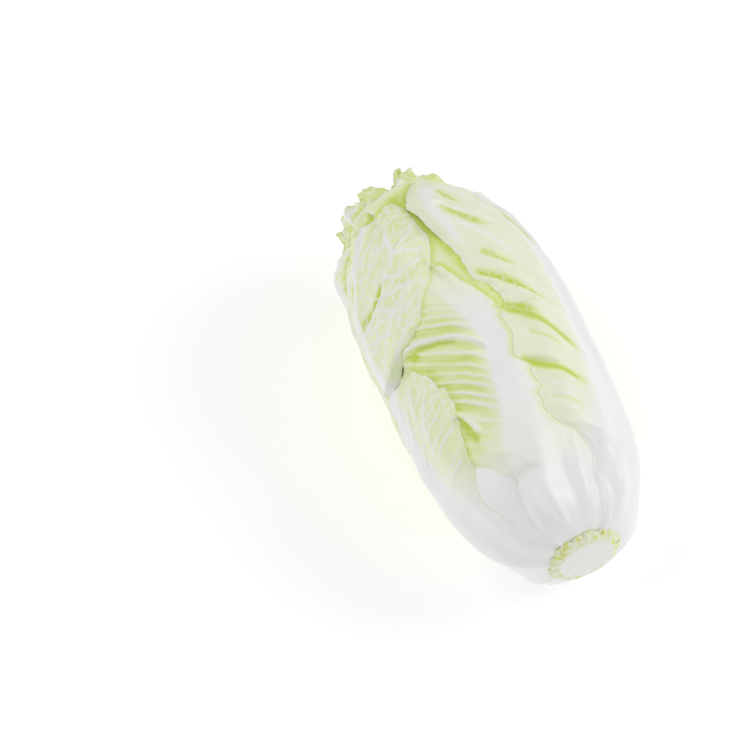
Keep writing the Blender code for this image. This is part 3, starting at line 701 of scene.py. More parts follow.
@dataclass(frozen=True)
class Wrapping:
    """How the leaves wrap the heart: each lies close on what is beneath it."""

    head: HeadShape = HeadShape()
    gap: float = 1.25  # beneath the middle of a leaf
    margin_gap: float = -0.15  # its margin presses this far into what it lies on
    blade: float = 1.35
    margin_blade: float = 0.15
    settle: float = 20.0  # a leaf settles on the one beneath within this far of its margin
    rise: float = 0.3  # rise of the rows towards the tip, per distance from the midrib
    ramp: float = 80.0  # over which rows begin to rise
    turn: float = 5.0  # how soon the side ribs turn outwards beside the midrib
    trough: float = 0.6  # where the valley between two of them is deepest
    wave_pitch: float = 41.0
    lobe_pitch: float = 37.0
    tooth_pitch: float = 6.1
    tooth_sway: tuple[float, float] = (2.0, 11.0)  # how far teeth stray from it, and how slowly
    lobe_shift: float = 2.0  # by which the lobes of the two sides are out of step
    side_shift: float = 40.0  # and the teeth
    tip_bow: float = 2.0  # by which the corners of a tip lie lower than its middle
    tip_waves: tuple[tuple[float, float], ...] = ((1.5, 9.0), (0.8, 31.0))  # height and number of its lobes
    tip_reach: float = 45.0
    roll_reach: float = 18.0  # the tip rolls outwards over this length
    bevel: float = 5.0  # the blade thins over this width
    crest: float = 6.0  # by which the head stands taller than it is wide
    cover_shade: float = 6.0  # painted shade, greener and darker, falls on a leaf this far beside the margin of one that lies on it
    shelter: float = 9.0  # relief fades this far under a leaf that covers it
    step: float = 1.0  # of the map of heights: millimetres of arc, and degrees of azimuth
    reach: int = 12  # the middle of a leaf clears what lies within this many steps
    ease: int = 6  # the map is smoothed over this many steps
    root_height: float = 18.8  # to which the open leaf bases fill out round the stem
    root_reach: float = 30.0
    root_step: float = 0.35  # from each leaf base to the next above it
    leaves: tuple[LeafPlan, ...] = LEAVES
    beds: list[tuple[Array, Array]] = field(default_factory=list, compare=False)

    def across(self, leaf: LeafPlan, azimuth: Array, arc: Array) -> Array:
        """Signed distance from the leaf's midrib, on the leaf laid flat."""
        turn = (azimuth - flow(arc, leaf.midrib) + 180.0) % 360.0 - 180.0
        return np.radians(turn) * self.head.girth(arc)

    def row_rise(self, leaf: LeafPlan, row: Array) -> Array:
        """How much a row climbs per distance from the midrib: none at base and tip."""
        return self.rise * smoothstep(row / self.ramp) * smoothstep((leaf.tip - row) / self.ramp)

    def row_at(self, leaf: LeafPlan, x: Array, arc: Array) -> Array:
        """The row that passes through each point of the flat leaf.

        Args:
            leaf: The leaf.
            x: Signed distances of the points from the midrib.
            arc: Their arcs from the stem.

        Returns:
            The rows.
        """
        row = np.array(arc, float)
        for _ in range(10):
            row = arc - self.row_rise(leaf, row) * np.abs(x)
        return row

    def half_width(self, leaf: LeafPlan, x: Array, row: Array) -> Array:
        """Half-width of the leaf along a row, on the side where x lies."""
        return np.where(x < 0.0, flow(row, leaf.left), flow(row, leaf.right or leaf.left))

    def edge_at(self, leaf: LeafPlan, x: Array, row: Array) -> Array:
        """The half-width with the lobes and teeth of the margin.

        Args:
            leaf: The leaf.
            x: Distances from the midrib, whose signs tell the side.
            row: Rows.

        Returns:
            The half-widths on that side.
        """
        lobe = leaf.lobe * np.sin(ROUND * row / self.lobe_pitch + leaf.phase + self.lobe_shift * (x > 0.0))
        uneven = row + self.tooth_sway[0] * np.sin(row / self.tooth_sway[1])
        ripple = Ripple(self.tooth_pitch, leaf.seed).at(uneven, self.side_shift * np.sign(x))
        tooth = flow(row, leaf.teeth) * ripple * (0.6 + 0.4 * np.sin(row / 9.0 + leaf.phase))
        return self.half_width(leaf, x, row) + (lobe + tooth) * smoothstep(row / self.ramp - 0.1)

    def outside(self, order: int, azimuth: Array, arc: Array) -> Array:
        """How far points of a leaf lie outside the leaves that cover it.

        Args:
            order: The leaf's place, counted from the innermost.
            azimuth: Azimuths of the points.
            arc: Their arcs.

        Returns:
            The distances, negative beneath another leaf.
        """
        nearest = np.full(np.shape(arc), FAR)
        for leaf in self.leaves[order + 1 :]:
            x = self.across(leaf, azimuth, arc)
            row = self.row_at(leaf, x, arc)
            nearest = np.minimum(nearest, np.maximum(np.abs(x) - self.edge_at(leaf, x, row), row - leaf.tip))
        return nearest

    def eased(self, height: Array) -> Array:
        """The map raised to clear its highest places nearby, and smoothed.

        Args:
            height: The map.

        Returns:
            The new map.
        """
        for pick, steps in ((np.max, self.reach + self.ease), (np.mean, self.ease)):
            for axis in (0, 1):
                height = pick([self.moved(height, k, axis) for k in range(-steps, steps + 1)], axis=0)
        return height

    @staticmethod
    def moved(height: Array, steps: int, axis: int) -> Array:
        """The map moved along its arcs, past whose ends it is level, or round its azimuths.

        Args:
            height: The map.
            steps: By how many steps.
            axis: 0 for along, and 1 for round.

        Returns:
            The moved map.
        """
        if axis == 0:
            return height[np.clip(np.arange(len(height)) + steps, 0, len(height) - 1)]
        return np.roll(height, steps, axis=1)

    def read_map(self, height: Array, arc: Array, azimuth: Array) -> Array:
        """Heights between the places of the map.

        Args:
            height: The map.
            arc: Arcs of the points.
            azimuth: Their azimuths.

        Returns:
            The heights there.
        """
        row = np.clip(arc / self.step, 0.0, len(height) - 1.001)
        turn = (azimuth / self.step) % height.shape[1]
        i, j = np.floor(row).astype(int), np.floor(turn).astype(int) % height.shape[1]
        a, b, k = row - i, turn - np.floor(turn), (j + 1) % height.shape[1]
        near = height[i, j] * (1.0 - b) + height[i, k] * b
        return near * (1.0 - a) + (height[i + 1, j] * (1.0 - b) + height[i + 1, k] * b) * a

    def lay_beds(self) -> None:
        """For each leaf in turn, works out the map of the heights on which it lies."""
        whole = self.head.arcs[-1]
        places = np.arange(0.0, whole, self.step), np.arange(0.0, 360.0, self.step)
        arc, azimuth = np.meshgrid(*places, indexing="ij")
        crest = np.maximum(np.cos(np.radians(azimuth)), 0.0) ** 2
        pile = self.crest * crest * smoothstep(arc / self.ramp) * smoothstep((whole - arc) / self.ramp)
        for order, leaf in enumerate(self.leaves):
            self.beds.append((self.eased(pile), pile))
            x = self.across(leaf, azimuth, arc)
            row = self.row_at(leaf, x, arc)
            width = self.edge_at(leaf, x, row)
            form = LeafForm(self, leaf, np.clip(x, -width, width), row, self.outside(order, azimuth, arc))
            high = self.heights(order, form, azimuth, arc)[1]
            here = (np.abs(x) < width) & (row < leaf.tip)
            pile = np.where(here, np.maximum(pile, high), pile)

    def heights(self, order: int, form: LeafForm, azimuth: Array, arc: Array) -> tuple[Array, Array]:
        """Heights of a leaf's skins above the heart.

        Args:
            order: The leaf's place, counted from the innermost.
            form: Its form at the points.
            azimuth: Azimuths of the points.
            arc: Their arcs.

        Returns:
            The heights of the inner and the outer skin.
        """
        middle, margin = (self.read_map(bed, arc, azimuth) for bed in self.beds[order])
        bed = margin + (middle - margin) * form.inward
        low, high = (bed + skin for skin in form.skins())
        root = self.root_height + self.root_step * (order - len(self.leaves))
        fill = np.maximum(root - high, 0.0) * form.free * smoothstep(form.margin / self.bevel)
        return low, high + fill * (1.0 - smoothstep(arc / self.root_reach))

    def leaf_surface(self, order: int, u: Array, v: Array) -> dict[str, Array]:
        """The skins of a leaf.

        Args:
            order: The leaf's place, counted from the innermost.
            u: Places across it, from -1 to 1.
            v: Places along it, from 0 to 1.

        Returns:
            Points of the inner and outer skins in metres, and how white and how deeply green it is, that
            green holding painted shade.
        """
        leaf = self.leaves[order]
        row = v * leaf.tip
        x = u * self.edge_at(leaf, u, row)
        near_tip = smoothstep((row - leaf.tip + self.tip_reach) / self.tip_reach)
        (slow, slow_count), (quick, quick_count) = self.tip_waves
        drop = self.tip_bow * u**2 + slow * np.sin(slow_count * u + leaf.phase)
        drop = drop + quick * np.sin(quick_count * u)
        arc = row + self.row_rise(leaf, row) * np.abs(x) - drop * near_tip
        azimuth = flow(arc, leaf.midrib) + np.degrees(x / self.head.girth(arc))
        form = LeafForm(self, leaf, x, row, self.outside(order, azimuth, arc))
        low, high = self.heights(order, form, azimuth, arc)
        white, green_and_shade = form.colours()
        return {
            "low": self.head.in_world(*self.head.on_head(arc, low), azimuth),
            "high": self.head.in_world(*self.head.on_head(arc, high), azimuth),
            "white": white,
            "green_and_shade": green_and_shade,
            "flat": np.stack([x, row], axis=-1),
        }


class Value:
    """A socket of a node tree that takes part in arithmetic."""

    def __init__(self, graph: "Graph", socket: bpy.types.NodeSocket) -> None:
        """Wraps a socket of that graph."""
        self.graph = graph
        self.socket = socket

    def __add__(self, other: "Value | float") -> "Value":
        """This plus other."""
        return self.graph.maths("ADD", self, other)

    def __sub__(self, other: "Value | float") -> "Value":
        """This minus other."""
        return self.graph.maths("SUBTRACT", self, other)

    def __rsub__(self, other: float) -> "Value":
        """A number minus this."""
        return self.graph.maths("SUBTRACT", other, self)

    def __mul__(self, other: "Value | float") -> "Value":
        """This times other."""
        return self.graph.maths("MULTIPLY", self, other)

    __radd__ = __add__
    __rmul__ = __mul__

    def limited(self) -> "Value":
        """This, kept between 0 and 1."""
        return self.graph.maths("MULTIPLY", self, 1.0, clamp=True)


class Graph:
    """The node tree of one material, written as expressions."""

    COLOUR_A, COLOUR_B, COLOUR_OUT = 6, 7, 2

    def __init__(self, name: str) -> None:
        """Starts a material with its shader.

        Args:
            name: Its name.
        """
        self.material = bpy.data.materials.new(name)
        self.material.use_nodes = True
        self.tree = self.material.node_tree
        self.shader = self.tree.nodes["Principled BSDF"]

    def node(self, kind: str, settings: dict, inputs: dict, output: int | str = 0) -> Value:
        """Adds a node.

        Args:
            kind: The node's type.
            settings: Its settings, which are set first.
            inputs: Values or links, by the socket's name or number.
            output: The socket that is wanted.

        Returns:
            That output.
        """
        made = self.tree.nodes.new(kind)
        for name, value in settings.items():
            setattr(made, name, value)
        for name, value in inputs.items():
            self.feed(made.inputs[name], value)
        return Value(self, made.outputs[output])

    def feed(self, socket: bpy.types.NodeSocket, value: "Value | float | tuple") -> None:
        """Links a value to a socket, or sets a number or colour on it.

        Args:
            socket: The socket.
            value: What it gets.
        """
        if isinstance(value, Value):
            self.tree.links.new(value.socket, socket)
        elif isinstance(value, tuple) and socket.type == "RGBA":
            socket.default_value = (*value, 1.0)
        else:
            socket.default_value = value

    def maths(self, operation: str, a: "Value | float", b: "Value | float", clamp: bool = False) -> Value:
        """One step of arithmetic."""
        return self.node("ShaderNodeMath", {"operation": operation, "use_clamp": clamp}, {0: a, 1: b})

    def mixed(self, factor: Value, a: "Value | Colour", b: "Value | Colour") -> Value:
        """Mixes two colours.

        Args:
            factor: How much of the second one, from 0 to 1.
            a: The first colour.
            b: The second colour.

        Returns:
            The mixed colour.
        """
        settings = {"data_type": "RGBA", "clamp_factor": True}
        inputs = {0: factor, self.COLOUR_A: a, self.COLOUR_B: b}
        return self.node("ShaderNodeMix", settings, inputs, self.COLOUR_OUT)

    def noise(self, place: Value, scale: float, detail: float, **settings: str) -> Value:
        """A noise, from 0 to 1."""
        return self.node("ShaderNodeTexNoise", settings, {"Vector": place, "Scale": scale, "Detail": detail})

    def painted(self, name: str) -> Value:
        """What the mesh stores under that name at each point."""
        settings = {"attribute_name": name, "attribute_type": "GEOMETRY"}
        return self.node("ShaderNodeAttribute", settings, {}, "Fac")

    def bump(self, height: Value, distance: float, strength: float) -> Value:
        """A normal bent by small heights."""
        return self.node("ShaderNodeBump", {}, {"Height": height, "Distance": distance, "Strength": strength})

    def dress(self, **sockets: "Value | float | tuple") -> bpy.types.Material:
        """Feeds the shader's sockets.

        Args:
            **sockets: What each gets, by its name with _ for each space.

        Returns:
            The material.
        """
        for name, value in sockets.items():
            self.feed(self.shader.inputs[name.replace("_", " ")], value)
        return self.material


FLAT = "leaf_flat"  # the UV map that holds places on the flat leaf
FLAT_UNIT = 50.0  # millimetres of leaf in one unit of it


@dataclass(frozen=True)
class LeafFinish:
    """A waxy leaf: white ribs, a pale blade with a fine net of veins, and green folds whose green is partly
    painted shade.
    """

    name: str = "napa_leaf"
    rib: Colour = (0.885, 0.89, 0.88)
    blade: Colour = (0.84, 0.91, 0.60)
    mid: Colour = (0.71, 0.82, 0.24)
    # The darkest green, which also shows painted shade in folds, valleys and beside covering leaves.
    green_and_shade: Colour = (0.55, 0.69, 0.05)
    cell: float = 2.6  # of the fine net
    gloss: float = 0.34  # roughness of the white ribs
    softness: float = 0.46  # and of the blade
    thread_edge: float = 9.0  # how sharply the fine net stands out
    thread_white: float = 0.22
    unevenness: float = 0.25  # of the green
    unevenness_scale: float = 7.0
    grain_scale: float = 60.0
    shares: tuple[float, float, float] = (0.4, 0.2, 0.3)  # of net, grain and swellings in the relief
    relief_height: float = 0.0004  # in metres
    relief_strength: float = 0.6
    wax: float = 0.45

    def make(self) -> bpy.types.Material:
        """Builds the material.

        Returns:
            The material.
        """
        graph = Graph(self.name)
        # The stored green carries the leaf's own green together with painted shade.
        white, green_and_shade = graph.painted("white"), graph.painted("green_and_shade")
        flat = graph.node("ShaderNodeUVMap", {"uv_map": FLAT}, {}, "UV")
        drift = graph.noise(flat, self.unevenness_scale, 4.0, noise_dimensions="2D")
        net = graph.node("ShaderNodeTexVoronoi", {"feature": "DISTANCE_TO_EDGE", "voronoi_dimensions": "2D"},
                         {"Vector": flat, "Scale": FLAT_UNIT / self.cell})
        thread = (1.0 - net * self.thread_edge).limited()
        grain = graph.noise(flat, self.grain_scale, 3.0, noise_dimensions="2D")
        green = (green_and_shade + (drift - 0.5) * self.unevenness * (1.0 - white)).limited()
        blade = graph.mixed((green * 2.0).limited(), self.blade, self.mid)
        blade = graph.mixed((green * 2.0 - 1.0).limited(), blade, self.green_and_shade)
        veined = (white + thread * self.thread_white * (1.0 - white)).limited()
        colour = graph.mixed(veined, blade, self.rib)
        of_net, of_grain, of_swelling = self.shares
        relief = thread * of_net * (1.0 - white) + grain * of_grain + drift * of_swelling
        return graph.dress(
            Base_Color=colour,
            Roughness=self.softness - (self.softness - self.gloss) * white,
            Normal=graph.bump(relief, self.relief_height, self.relief_strength),
            Specular_IOR_Level=self.wax,
        )


@dataclass(frozen=True)
class StemFinish:
    """The cut stem: a moist white face with faint fibres, and a greener, scarred collar."""

    name: str = "cut_stem"
    face: Colour = (0.88, 0.89, 0.84)
    fibre: Colour = (0.80, 0.82, 0.66)
    collar: Colour = (0.83, 0.86, 0.64)
    moss: Colour = (0.72, 0.77, 0.16)
    scar: Colour = (0.42, 0.44, 0.08)
    fibre_scale: float = 420.0
    fibre_contrast: float = 4.0
    ring_scale: float = 90.0
    speckle_scale: float = 260.0
    speckle_contrast: float = 6.0
    relief_height: float = 0.0005  # in metres
    relief_strength: float = 0.5
    softness: float = 0.5
    moistness: float = 0.2  # how much light goes in
    light_depth: float = 0.003  # and how far, in metres
    light_tint: Colour = (1.0, 0.9, 0.5)

    def make(self) -> bpy.types.Material:
        """Builds the material.

        Returns:
            The material.
        """
        graph = Graph(self.name)
        collar, scar = graph.painted("collar"), graph.painted("scar")
        place = graph.node("ShaderNodeTexCoord", {}, {}, "Object")
        fibre = graph.noise(place, self.fibre_scale, 3.0)
        rings = graph.noise(place, self.ring_scale, 2.0)
        face = graph.mixed(((fibre - 0.52) * self.fibre_contrast).limited(), self.face, self.fibre)
        speckle = graph.noise(place, self.speckle_scale, 2.0)
        edge = graph.mixed((collar * (0.6 + rings * 0.8)).limited(), face, self.collar)
        edge = graph.mixed(((speckle - 0.5) * self.speckle_contrast * collar).limited(), edge, self.moss)
        colour = graph.mixed(scar, edge, self.scar)
        return graph.dress(
            Base_Color=colour,
            Roughness=self.softness,
            Normal=graph.bump(fibre + rings, self.relief_height, self.relief_strength),
            Subsurface_Weight=self.moistness,
            Subsurface_Radius=self.light_tint,
            Subsurface_Scale=self.light_depth,
        )


@dataclass(frozen=True)
class FloorFinish:
    """A plain white studio floor."""

    name: str = "studio_floor"
    colour: Colour = (0.93, 0.93, 0.93)
    glow: float = 0.24
    glow_colour: Colour = (1.0, 1.0, 1.0)
    softness: float = 0.85
    gloss: float = 0.1

    def make(self) -> bpy.types.Material:
        """Builds the material.

        Returns:
            The material.
        """
        graph = Graph(self.name)
        return graph.dress(Base_Color=self.colour, Roughness=self.softness, Specular_IOR_Level=self.gloss,
                           Emission_Color=self.glow_colour, Emission_Strength=self.glow)


def sheet_places(columns: int, rows: int) -> tuple[Array, Array]:
    """Places of the points of a sheet.

    Args:
        columns: Faces across.
        rows: Faces along.

    Returns:
        Places along it, from 0 to 1, and across it, from -1 to 1.
    """
    return np.meshgrid(np.linspace(0.0, 1.0, rows + 1), np.linspace(-1.0, 1.0, columns + 1), indexing="ij")


def sheet_faces(columns: int, rows: int) -> Array:
    """Faces of a closed sheet of two skins, the outer one's points first.

    Args:
        columns: Faces across.
        rows: Faces along.

    Returns:
        The faces as rows of four points, those of the thin edges last.
    """
    index = np.arange((rows + 1) * (columns + 1)).reshape(rows + 1, columns + 1)
    skin = index.size
    outer = np.stack([index[:-1, :-1], index[:-1, 1:], index[1:, 1:], index[1:, :-1]], -1).reshape(-1, 4)
    rim = np.r_[index[0, :-1], index[:-1, -1], index[-1, :0:-1], index[:0:-1, 0]]
    after = np.roll(rim, -1)
    wall = np.stack([after, rim, rim + skin, after + skin], -1)
    return np.concatenate([outer, outer[:, ::-1] + skin, wall])


def turned_faces(shape: tuple[int, int]) -> Array:
    """Faces of a form turned about an axis.

    Args:
        shape: How many rings of points it has, and points in each.

    Returns:
        The faces as rows of four points.
    """
    index = np.arange(shape[0] * shape[1]).reshape(shape)
    after = np.roll(index, -1, axis=1)
    return np.stack([index[:-1], after[:-1], after[1:], index[1:]], -1).reshape(-1, 4)


def add_object(name: str, data: bpy.types.ID) -> bpy.types.Object:
    """Adds an object to the scene.

    Args:
        name: Its name.
        data: Its mesh, light or camera.

    Returns:
        The object.
    """
    made = bpy.data.objects.new(name, data)
    bpy.context.scene.collection.objects.link(made)
    return made


def make_piece(name: str, points: Array, faces: Array, finish: bpy.types.Material,
               stored: dict[str, Array], flat: Array | None = None, walls: int = 0) -> bpy.types.Object:
    """Makes a piece from its points and faces.

    Args:
        name: Its name.
        points: Points in metres.
        faces: Rows of the four points of each face.
        finish: Its material.
        stored: Numbers stored at each point, by name.
        flat: Places of the points on the flat leaf, in millimetres.
        walls: How many of the last faces are thin edges, which are not shaded as one with the rest.

    Returns:
        The object.
    """
    mesh = bpy.data.meshes.new(name)
    mesh.from_pydata(points.tolist(), [], faces.tolist())
    for key, values in stored.items():
        layer = mesh.attributes.new(key, "FLOAT", "POINT")
        layer.data.foreach_set("value", values.astype(np.float32).ravel())
    if flat is not None:
        corners = np.zeros(len(mesh.loops), np.int32)
        mesh.loops.foreach_get("vertex_index", corners)
        layer = mesh.uv_layers.new(name=FLAT)
        layer.data.foreach_set("uv", (flat[corners] / FLAT_UNIT).astype(np.float32).ravel())
    mesh.materials.append(finish)
    smooth = np.ones(len(faces), bool)
    smooth[len(faces) - walls :] = False
    mesh.polygons.foreach_set("use_smooth", smooth)
    return add_object(name, mesh)


def place_piece(piece: bpy.types.Object, slot: str, *nodes: str) -> None:
    """Lets a piece stand for nodes of the frame, and reports it.

    Args:
        piece: The piece.
        slot: Its material slot, which is not used.
        *nodes: The nodes that it replaces.
    """
    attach(piece, BODY)
    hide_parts(*nodes)
    LOG.info("%s: %d faces, for %s", piece.name, len(piece.data.polygons), ", ".join(nodes))


@dataclass
class WrapperLeaves:
    """The ten wrapper leaves."""

    wrapping: Wrapping
    finish: LeafFinish = LeafFinish()

    def build(self) -> None:
        """Builds every leaf, from the innermost to the outermost."""
        material = self.finish.make()
        for order, leaf in enumerate(self.wrapping.leaves):
            place_piece(self.build_leaf(order, leaf, material), "leaf", leaf.node)

    def build_leaf(self, order: int, leaf: LeafPlan, material: bpy.types.Material) -> bpy.types.Object:
        """Builds one leaf.

        Args:
            order: Its place, counted from the innermost.
            leaf: Its plan.
            material: Its material.

        Returns:
            The leaf's object.
        """
        columns, rows = leaf.columns, leaf.rows
        v, u = sheet_places(columns, rows)
        surface = self.wrapping.leaf_surface(order, u, v)
        if order == len(self.wrapping.leaves) - 1:
            surface["high"][..., 2] = np.maximum(surface["high"][..., 2], 0.0)  # the head rests here
        points = np.concatenate([surface["high"].reshape(-1, 3), surface["low"].reshape(-1, 3)])
        stored = {name: np.tile(surface[name].ravel(), 2) for name in ("white", "green_and_shade")}
        flat = np.tile(surface["flat"].reshape(-1, 2), (2, 1))
        walls = 2 * (columns + rows)
        return make_piece(leaf.piece, points, sheet_faces(columns, rows), material, stored, flat, walls)


@dataclass
class Heart:
    """The dense heart, with the tips of its young leaves in the crown."""

    head: HeadShape
    shrink: float = 0.6
    root: tuple[float, float] = (25.0, 19.0)
    top: tuple[float, float] = (280.0, 23.0)
    rings: tuple[tuple[float, int, float, float], ...] = (  # (radius, number, first azimuth, half of a span)
        (28.0, 6, 20.0, 38.0), (19.0, 5, 14.0, 40.0), (10.0, 3, 48.0, 56.0),
    )
    tip_root: float = 268.0
    tip_top: float = 304.0
    sides: int = 72
    columns: int = 30
    rows: int = 26
    blade: float = 0.45  # half the thickness of a tip
    droop: float = 5.0  # by which the corners of a tip hang back
    ruffle: float = 0.9  # height of the teeth along its edge
    frill: tuple[float, float] = (1.6, 0.7)  # how far its edge sways in and out, slowly and quickly
    rib_height: float = 0.5
    rib_width: float = 0.12  # as a share of its half-span
    fan_height: float = 0.22  # of the fine ribs
    core_white: float = 0.3
    core_deep: float = 0.15
    flat_radius: float = 40.0  # at which the core is drawn flat
    finish: LeafFinish = LeafFinish("napa_heart", blade=(0.84, 0.88, 0.42), mid=(0.76, 0.82, 0.20))

    def build(self) -> None:
        """Builds the core and its leaf tips as one piece."""
        parts = [self.core(), *self.tips()]
        points, white, green_and_shade, flat = (np.concatenate([part[i] for part in parts]) for i in (0, 2, 3, 4))
        starts = np.cumsum([0] + [len(part[0]) for part in parts])
        faces = np.concatenate([part[1] + start for part, start in zip(parts, starts)])
        stored = {"white": white, "green_and_shade": green_and_shade}
        piece = make_piece("heart_leaves", points, faces, self.finish.make(), stored, flat)
        place_piece(piece, "heart", "heart")

    def core(self) -> tuple[Array, ...]:
        """The core: the heart's outline turned about the axis.

        Returns:
            Points, faces, how white and how deeply green, and flat places.
        """
        start, end = self.root[0], self.top[0]
        middle = [(along, radius - self.shrink)
                  for along, radius in self.head.outline if start + 5.0 < along < end]
        profile = np.array([(start, 0.01), self.root, *middle, self.top, (end, 0.01)])
        turns = np.arange(self.sides) * 360.0 / self.sides
        along, turn = np.meshgrid(profile[:, 0], turns, indexing="ij")
        radius = np.repeat(profile[:, 1:], self.sides, axis=1)
        points = self.head.in_world(along, radius, turn).reshape(-1, 3)
        flat = np.stack([np.radians(turn) * self.flat_radius, along], -1).reshape(-1, 2)
        white, green_and_shade = np.full(along.size, self.core_white), np.full(along.size, self.core_deep)
        return points, turned_faces(along.shape), white, green_and_shade, flat

    def tips(self) -> list[tuple[Array, ...]]:
        """The young leaf tips, cupped round the axis with frilled edges."""
        return [self.tip(radius, first + 360.0 * i / count, half_span, 1.7 * i + radius)
                for radius, count, first, half_span in self.rings for i in range(count)]

    def tip(self, radius: float, azimuth: float, half_span: float, phase: float) -> tuple[Array, ...]:
        """One young leaf tip.

        Args:
            radius: Its distance from the axis.
            azimuth: The azimuth of its middle.
            half_span: Half of the angle that it spans.
            phase: Where its frill begins.

        Returns:
            Points, faces, how white and how deep green, and flat places.
        """
        v, u = sheet_places(self.columns, self.rows)
        edge = rising(v, 0.3, 0.7)
        along = self.tip_root + (self.tip_top - 0.45 * radius - self.tip_root) * v - self.droop * v * u * u
        along = along + self.ruffle * edge * np.sin(19.0 * u + phase)
        slow, quick = self.frill
        frill = slow * edge * np.sin(7.0 * u + phase) + quick * edge**2 * np.sin(21.0 * u + 2.0 * phase)
        rib = self.rib_height * np.exp(-((u / self.rib_width) ** 2)) * (1.0 - 0.6 * v)
        fan = self.fan_height * np.cos(16.0 * u - 9.0 * v * np.sign(u)) * smoothstep(np.abs(u) / 0.2)
        reach = radius * (1.0 - 0.12 * v) + frill
        turn = azimuth + half_span * u * (1.0 - 0.2 * v)
        outer = self.head.in_world(along, reach + self.blade + rib + fan, turn).reshape(-1, 3)
        inner = self.head.in_world(along, reach - self.blade + fan, turn).reshape(-1, 3)
        white = np.maximum(rib * 1.8, smoothstep(fan * 4.0 - 0.3) * 0.5)
        green_and_shade = np.clip(0.2 + 0.3 * edge - 1.2 * fan, 0.0, 1.0)
        flat = np.stack([u * half_span * 0.4, along], -1).reshape(-1, 2)
        white, green_and_shade = np.tile(white.ravel(), 2), np.tile(green_and_shade.ravel(), 2)
        faces = sheet_faces(self.columns, self.rows)
        return np.concatenate([outer, inner]), faces, white, green_and_shade, np.tile(flat, (2, 1))


@dataclass
class Stem:
    """The stub of stem: a cut face, and a collar with the scars of trimmed leaves."""

    head: HeadShape
    cut: float = 18.0
    collar: float = 23.4
    radius: float = 18.6
    length: float = 24.6
    scar_depth: float = 0.9
    scar_dark: float = 0.8
    scar_count: int = 9
    scar_size: float = 4.6
    knob_height: float = 0.65
    knob_length: float = 5.0
    waver: float = 0.35  # of the collar along the stem
    waver_length: float = 7.0
    bulge: float = 0.5  # of the cut face
    collar_end: float = 7.0  # the collar reaches this far along the stem
    sides: int = 180
    face_rings: int = 30
    finish: StemFinish = StemFinish()

    def build(self) -> None:
        """Builds the stub."""
        face_radii = np.linspace(0.02, self.cut, self.face_rings)
        bulge = self.bulge * (1.0 - (face_radii / self.cut) ** 2)
        side = np.array([(0.35, self.cut + 0.6), (0.8, self.cut + 1.6), (1.2, self.cut + 2.8),
                         (1.7, self.collar - 1.6), (2.3, self.collar - 0.7), (3.0, self.collar),
                         (3.8, self.collar + 0.5), (4.8, self.collar + 0.8), (5.6, self.collar + 0.6),
                         (self.collar_end, self.radius), (14.0, self.radius), (self.length, self.radius),
                         (self.length, 0.02)])
        along = np.r_[0.3 - bulge * 0.6, side[:, 0]]
        radius = np.r_[face_radii, side[:, 1]]
        turns = np.arange(self.sides) * 360.0 / self.sides
        spread, turn = np.meshgrid(along, turns, indexing="ij")
        reach = np.repeat(radius[:, None], self.sides, axis=1)
        on_collar = smoothstep((reach - self.cut + 0.8) / 1.6) * smoothstep((self.collar_end - spread) / 2.0)
        flute = 0.5 - 0.5 * np.cos(np.radians(turn) * self.scar_count)
        around = np.radians(turn) * self.collar
        knobs = self.knob_height * Ripple(self.knob_length, 31).at(around, spread * 1.5)
        reach = reach - on_collar * (self.scar_depth * 0.5 * flute + knobs * smoothstep(spread))
        spread = spread + self.waver * on_collar * Ripple(self.waver_length, 12).at(around, spread)
        spots = Net(self.scar_size, 5).inside(around, spread * 1.3 + 3.0)
        scar = rising(spots, 0.62, 0.2) * on_collar * rising(spread, 0.6, 0.8)
        points = self.head.in_world(np.maximum(spread, 0.0), reach, turn).reshape(-1, 3)
        stored = {"collar": on_collar.ravel(), "scar": self.scar_dark * scar.ravel()}
        piece = make_piece("cut_stem", points, turned_faces(spread.shape), self.finish.make(), stored)
        place_piece(piece, "stem", "stem")


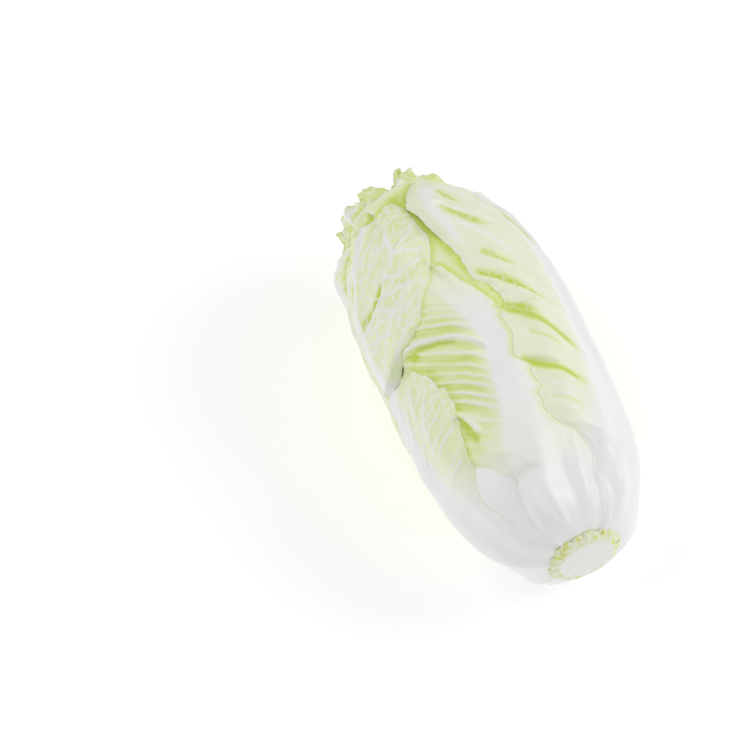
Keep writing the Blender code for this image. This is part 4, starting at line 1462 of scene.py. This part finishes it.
@dataclass
class Camera:
    """The camera, at the photograph's angle on the head."""

    head: HeadShape
    azimuth: float = -23.0
    elevation: float = 55.4
    distance: float = 1.6
    focal_pixels: float = 1600.0 / 0.6
    frame_size: float = 750.0
    cut_in_frame: tuple[float, float] = (587.0, 560.0)  # where the middle of the cut stem shows
    sensor: float = 36.0
    clip_end: float = 20.0

    def axes(self) -> tuple[Vector, Vector, Vector]:
        """The way the camera looks.

        Returns:
            Its right, up and back directions.
        """
        a, e = math.radians(self.azimuth), math.radians(self.elevation)
        back = Vector((math.sin(a) * math.cos(e), -math.cos(a) * math.cos(e), math.sin(e)))
        right = (-back).cross(Vector((0.0, 0.0, 1.0))).normalized()
        up = right.cross(-back)
        lean = Matrix.Rotation(math.radians(self.head.tilt), 3, "X")
        return lean @ right, lean @ up, lean @ back

    def build(self) -> None:
        """Places the camera."""
        right, up, back = self.axes()
        middle = self.frame_size / 2.0
        shift_x = (self.cut_in_frame[0] - middle) / self.focal_pixels
        shift_y = (middle - self.cut_in_frame[1]) / self.focal_pixels
        cut = Vector(self.head.in_world(np.array(0.0), np.array(0.0), np.array(0.0)))
        eye = cut - (right * shift_x + up * shift_y - back) * self.distance
        data = bpy.data.cameras.new("camera")
        data.lens = self.sensor * self.focal_pixels / self.frame_size
        data.sensor_width = self.sensor
        data.clip_end = self.clip_end
        camera = add_object("camera", data)
        camera.matrix_world = Matrix((right, up, back)).transposed().to_4x4()
        camera.location = eye
        bpy.context.scene.camera = camera


class Lamp(Enum):
    """The studio's lights: place in the camera's right, up and back directions, size and power."""

    KEY = ((1.05, 0.6, 0.6), 0.8, 5.4)
    FILL = ((-0.9, 0.6, 0.9), 1.2, 5.0)


@dataclass
class Studio:
    """A plain white floor and world, with soft lights."""

    camera: Camera
    floor_half: float = 4.0
    floor_drop: float = 0.0002  # by which the floor lies beneath the head
    world: float = 0.55
    sky: tuple[float, ...] = (0.985, 0.99, 1.0, 1.0)
    finish: FloorFinish = FloorFinish()

    def build(self) -> None:
        """Builds the floor, the world and the lights."""
        half = self.floor_half
        places = [(x * half, y * half, -self.floor_drop) for x, y in ((-1, -1), (1, -1), (1, 1), (-1, 1))]
        mesh = bpy.data.meshes.new("floor")
        mesh.from_pydata(places, [], [(0, 1, 2, 3)])
        mesh.materials.append(self.finish.make())
        floor = add_object("floor", mesh)
        world = bpy.data.worlds.new("studio")
        world.use_nodes = True
        background = world.node_tree.nodes["Background"]
        background.inputs["Color"].default_value = self.sky
        background.inputs["Strength"].default_value = self.world
        bpy.context.scene.world = world
        bpy.context.scene.view_settings.view_transform = "Standard"
        right, up, back = self.camera.axes()
        for lamp in Lamp:
            place, size, power = lamp.value
            data = bpy.data.lights.new(lamp.name.lower(), "AREA")
            data.shape = "DISK"
            data.size = size
            data.energy = power
            light = add_object(lamp.name.lower(), data)
            light.location = right * place[0] + up * place[1] + back * place[2]
            light.rotation_euler = light.location.to_track_quat("Z", "Y").to_euler()


def corners(bounds: tuple) -> list[list[float]]:
    """The corners of a box as plain lists."""
    return [[float(value) for value in corner] for corner in bounds]


def main() -> None:
    """Builds the dressed head, the studio and the camera."""
    logging.basicConfig(level=logging.INFO, format="%(name)s: %(message)s")
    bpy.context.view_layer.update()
    head = HeadShape()
    camera = Camera(head)
    camera.build()
    Studio(camera).build()
    wrapping = Wrapping(head)
    wrapping.lay_beds()
    Stem(head).build()
    Heart(head).build()
    WrapperLeaves(wrapping).build()


if __name__ == "__main__":
    main()
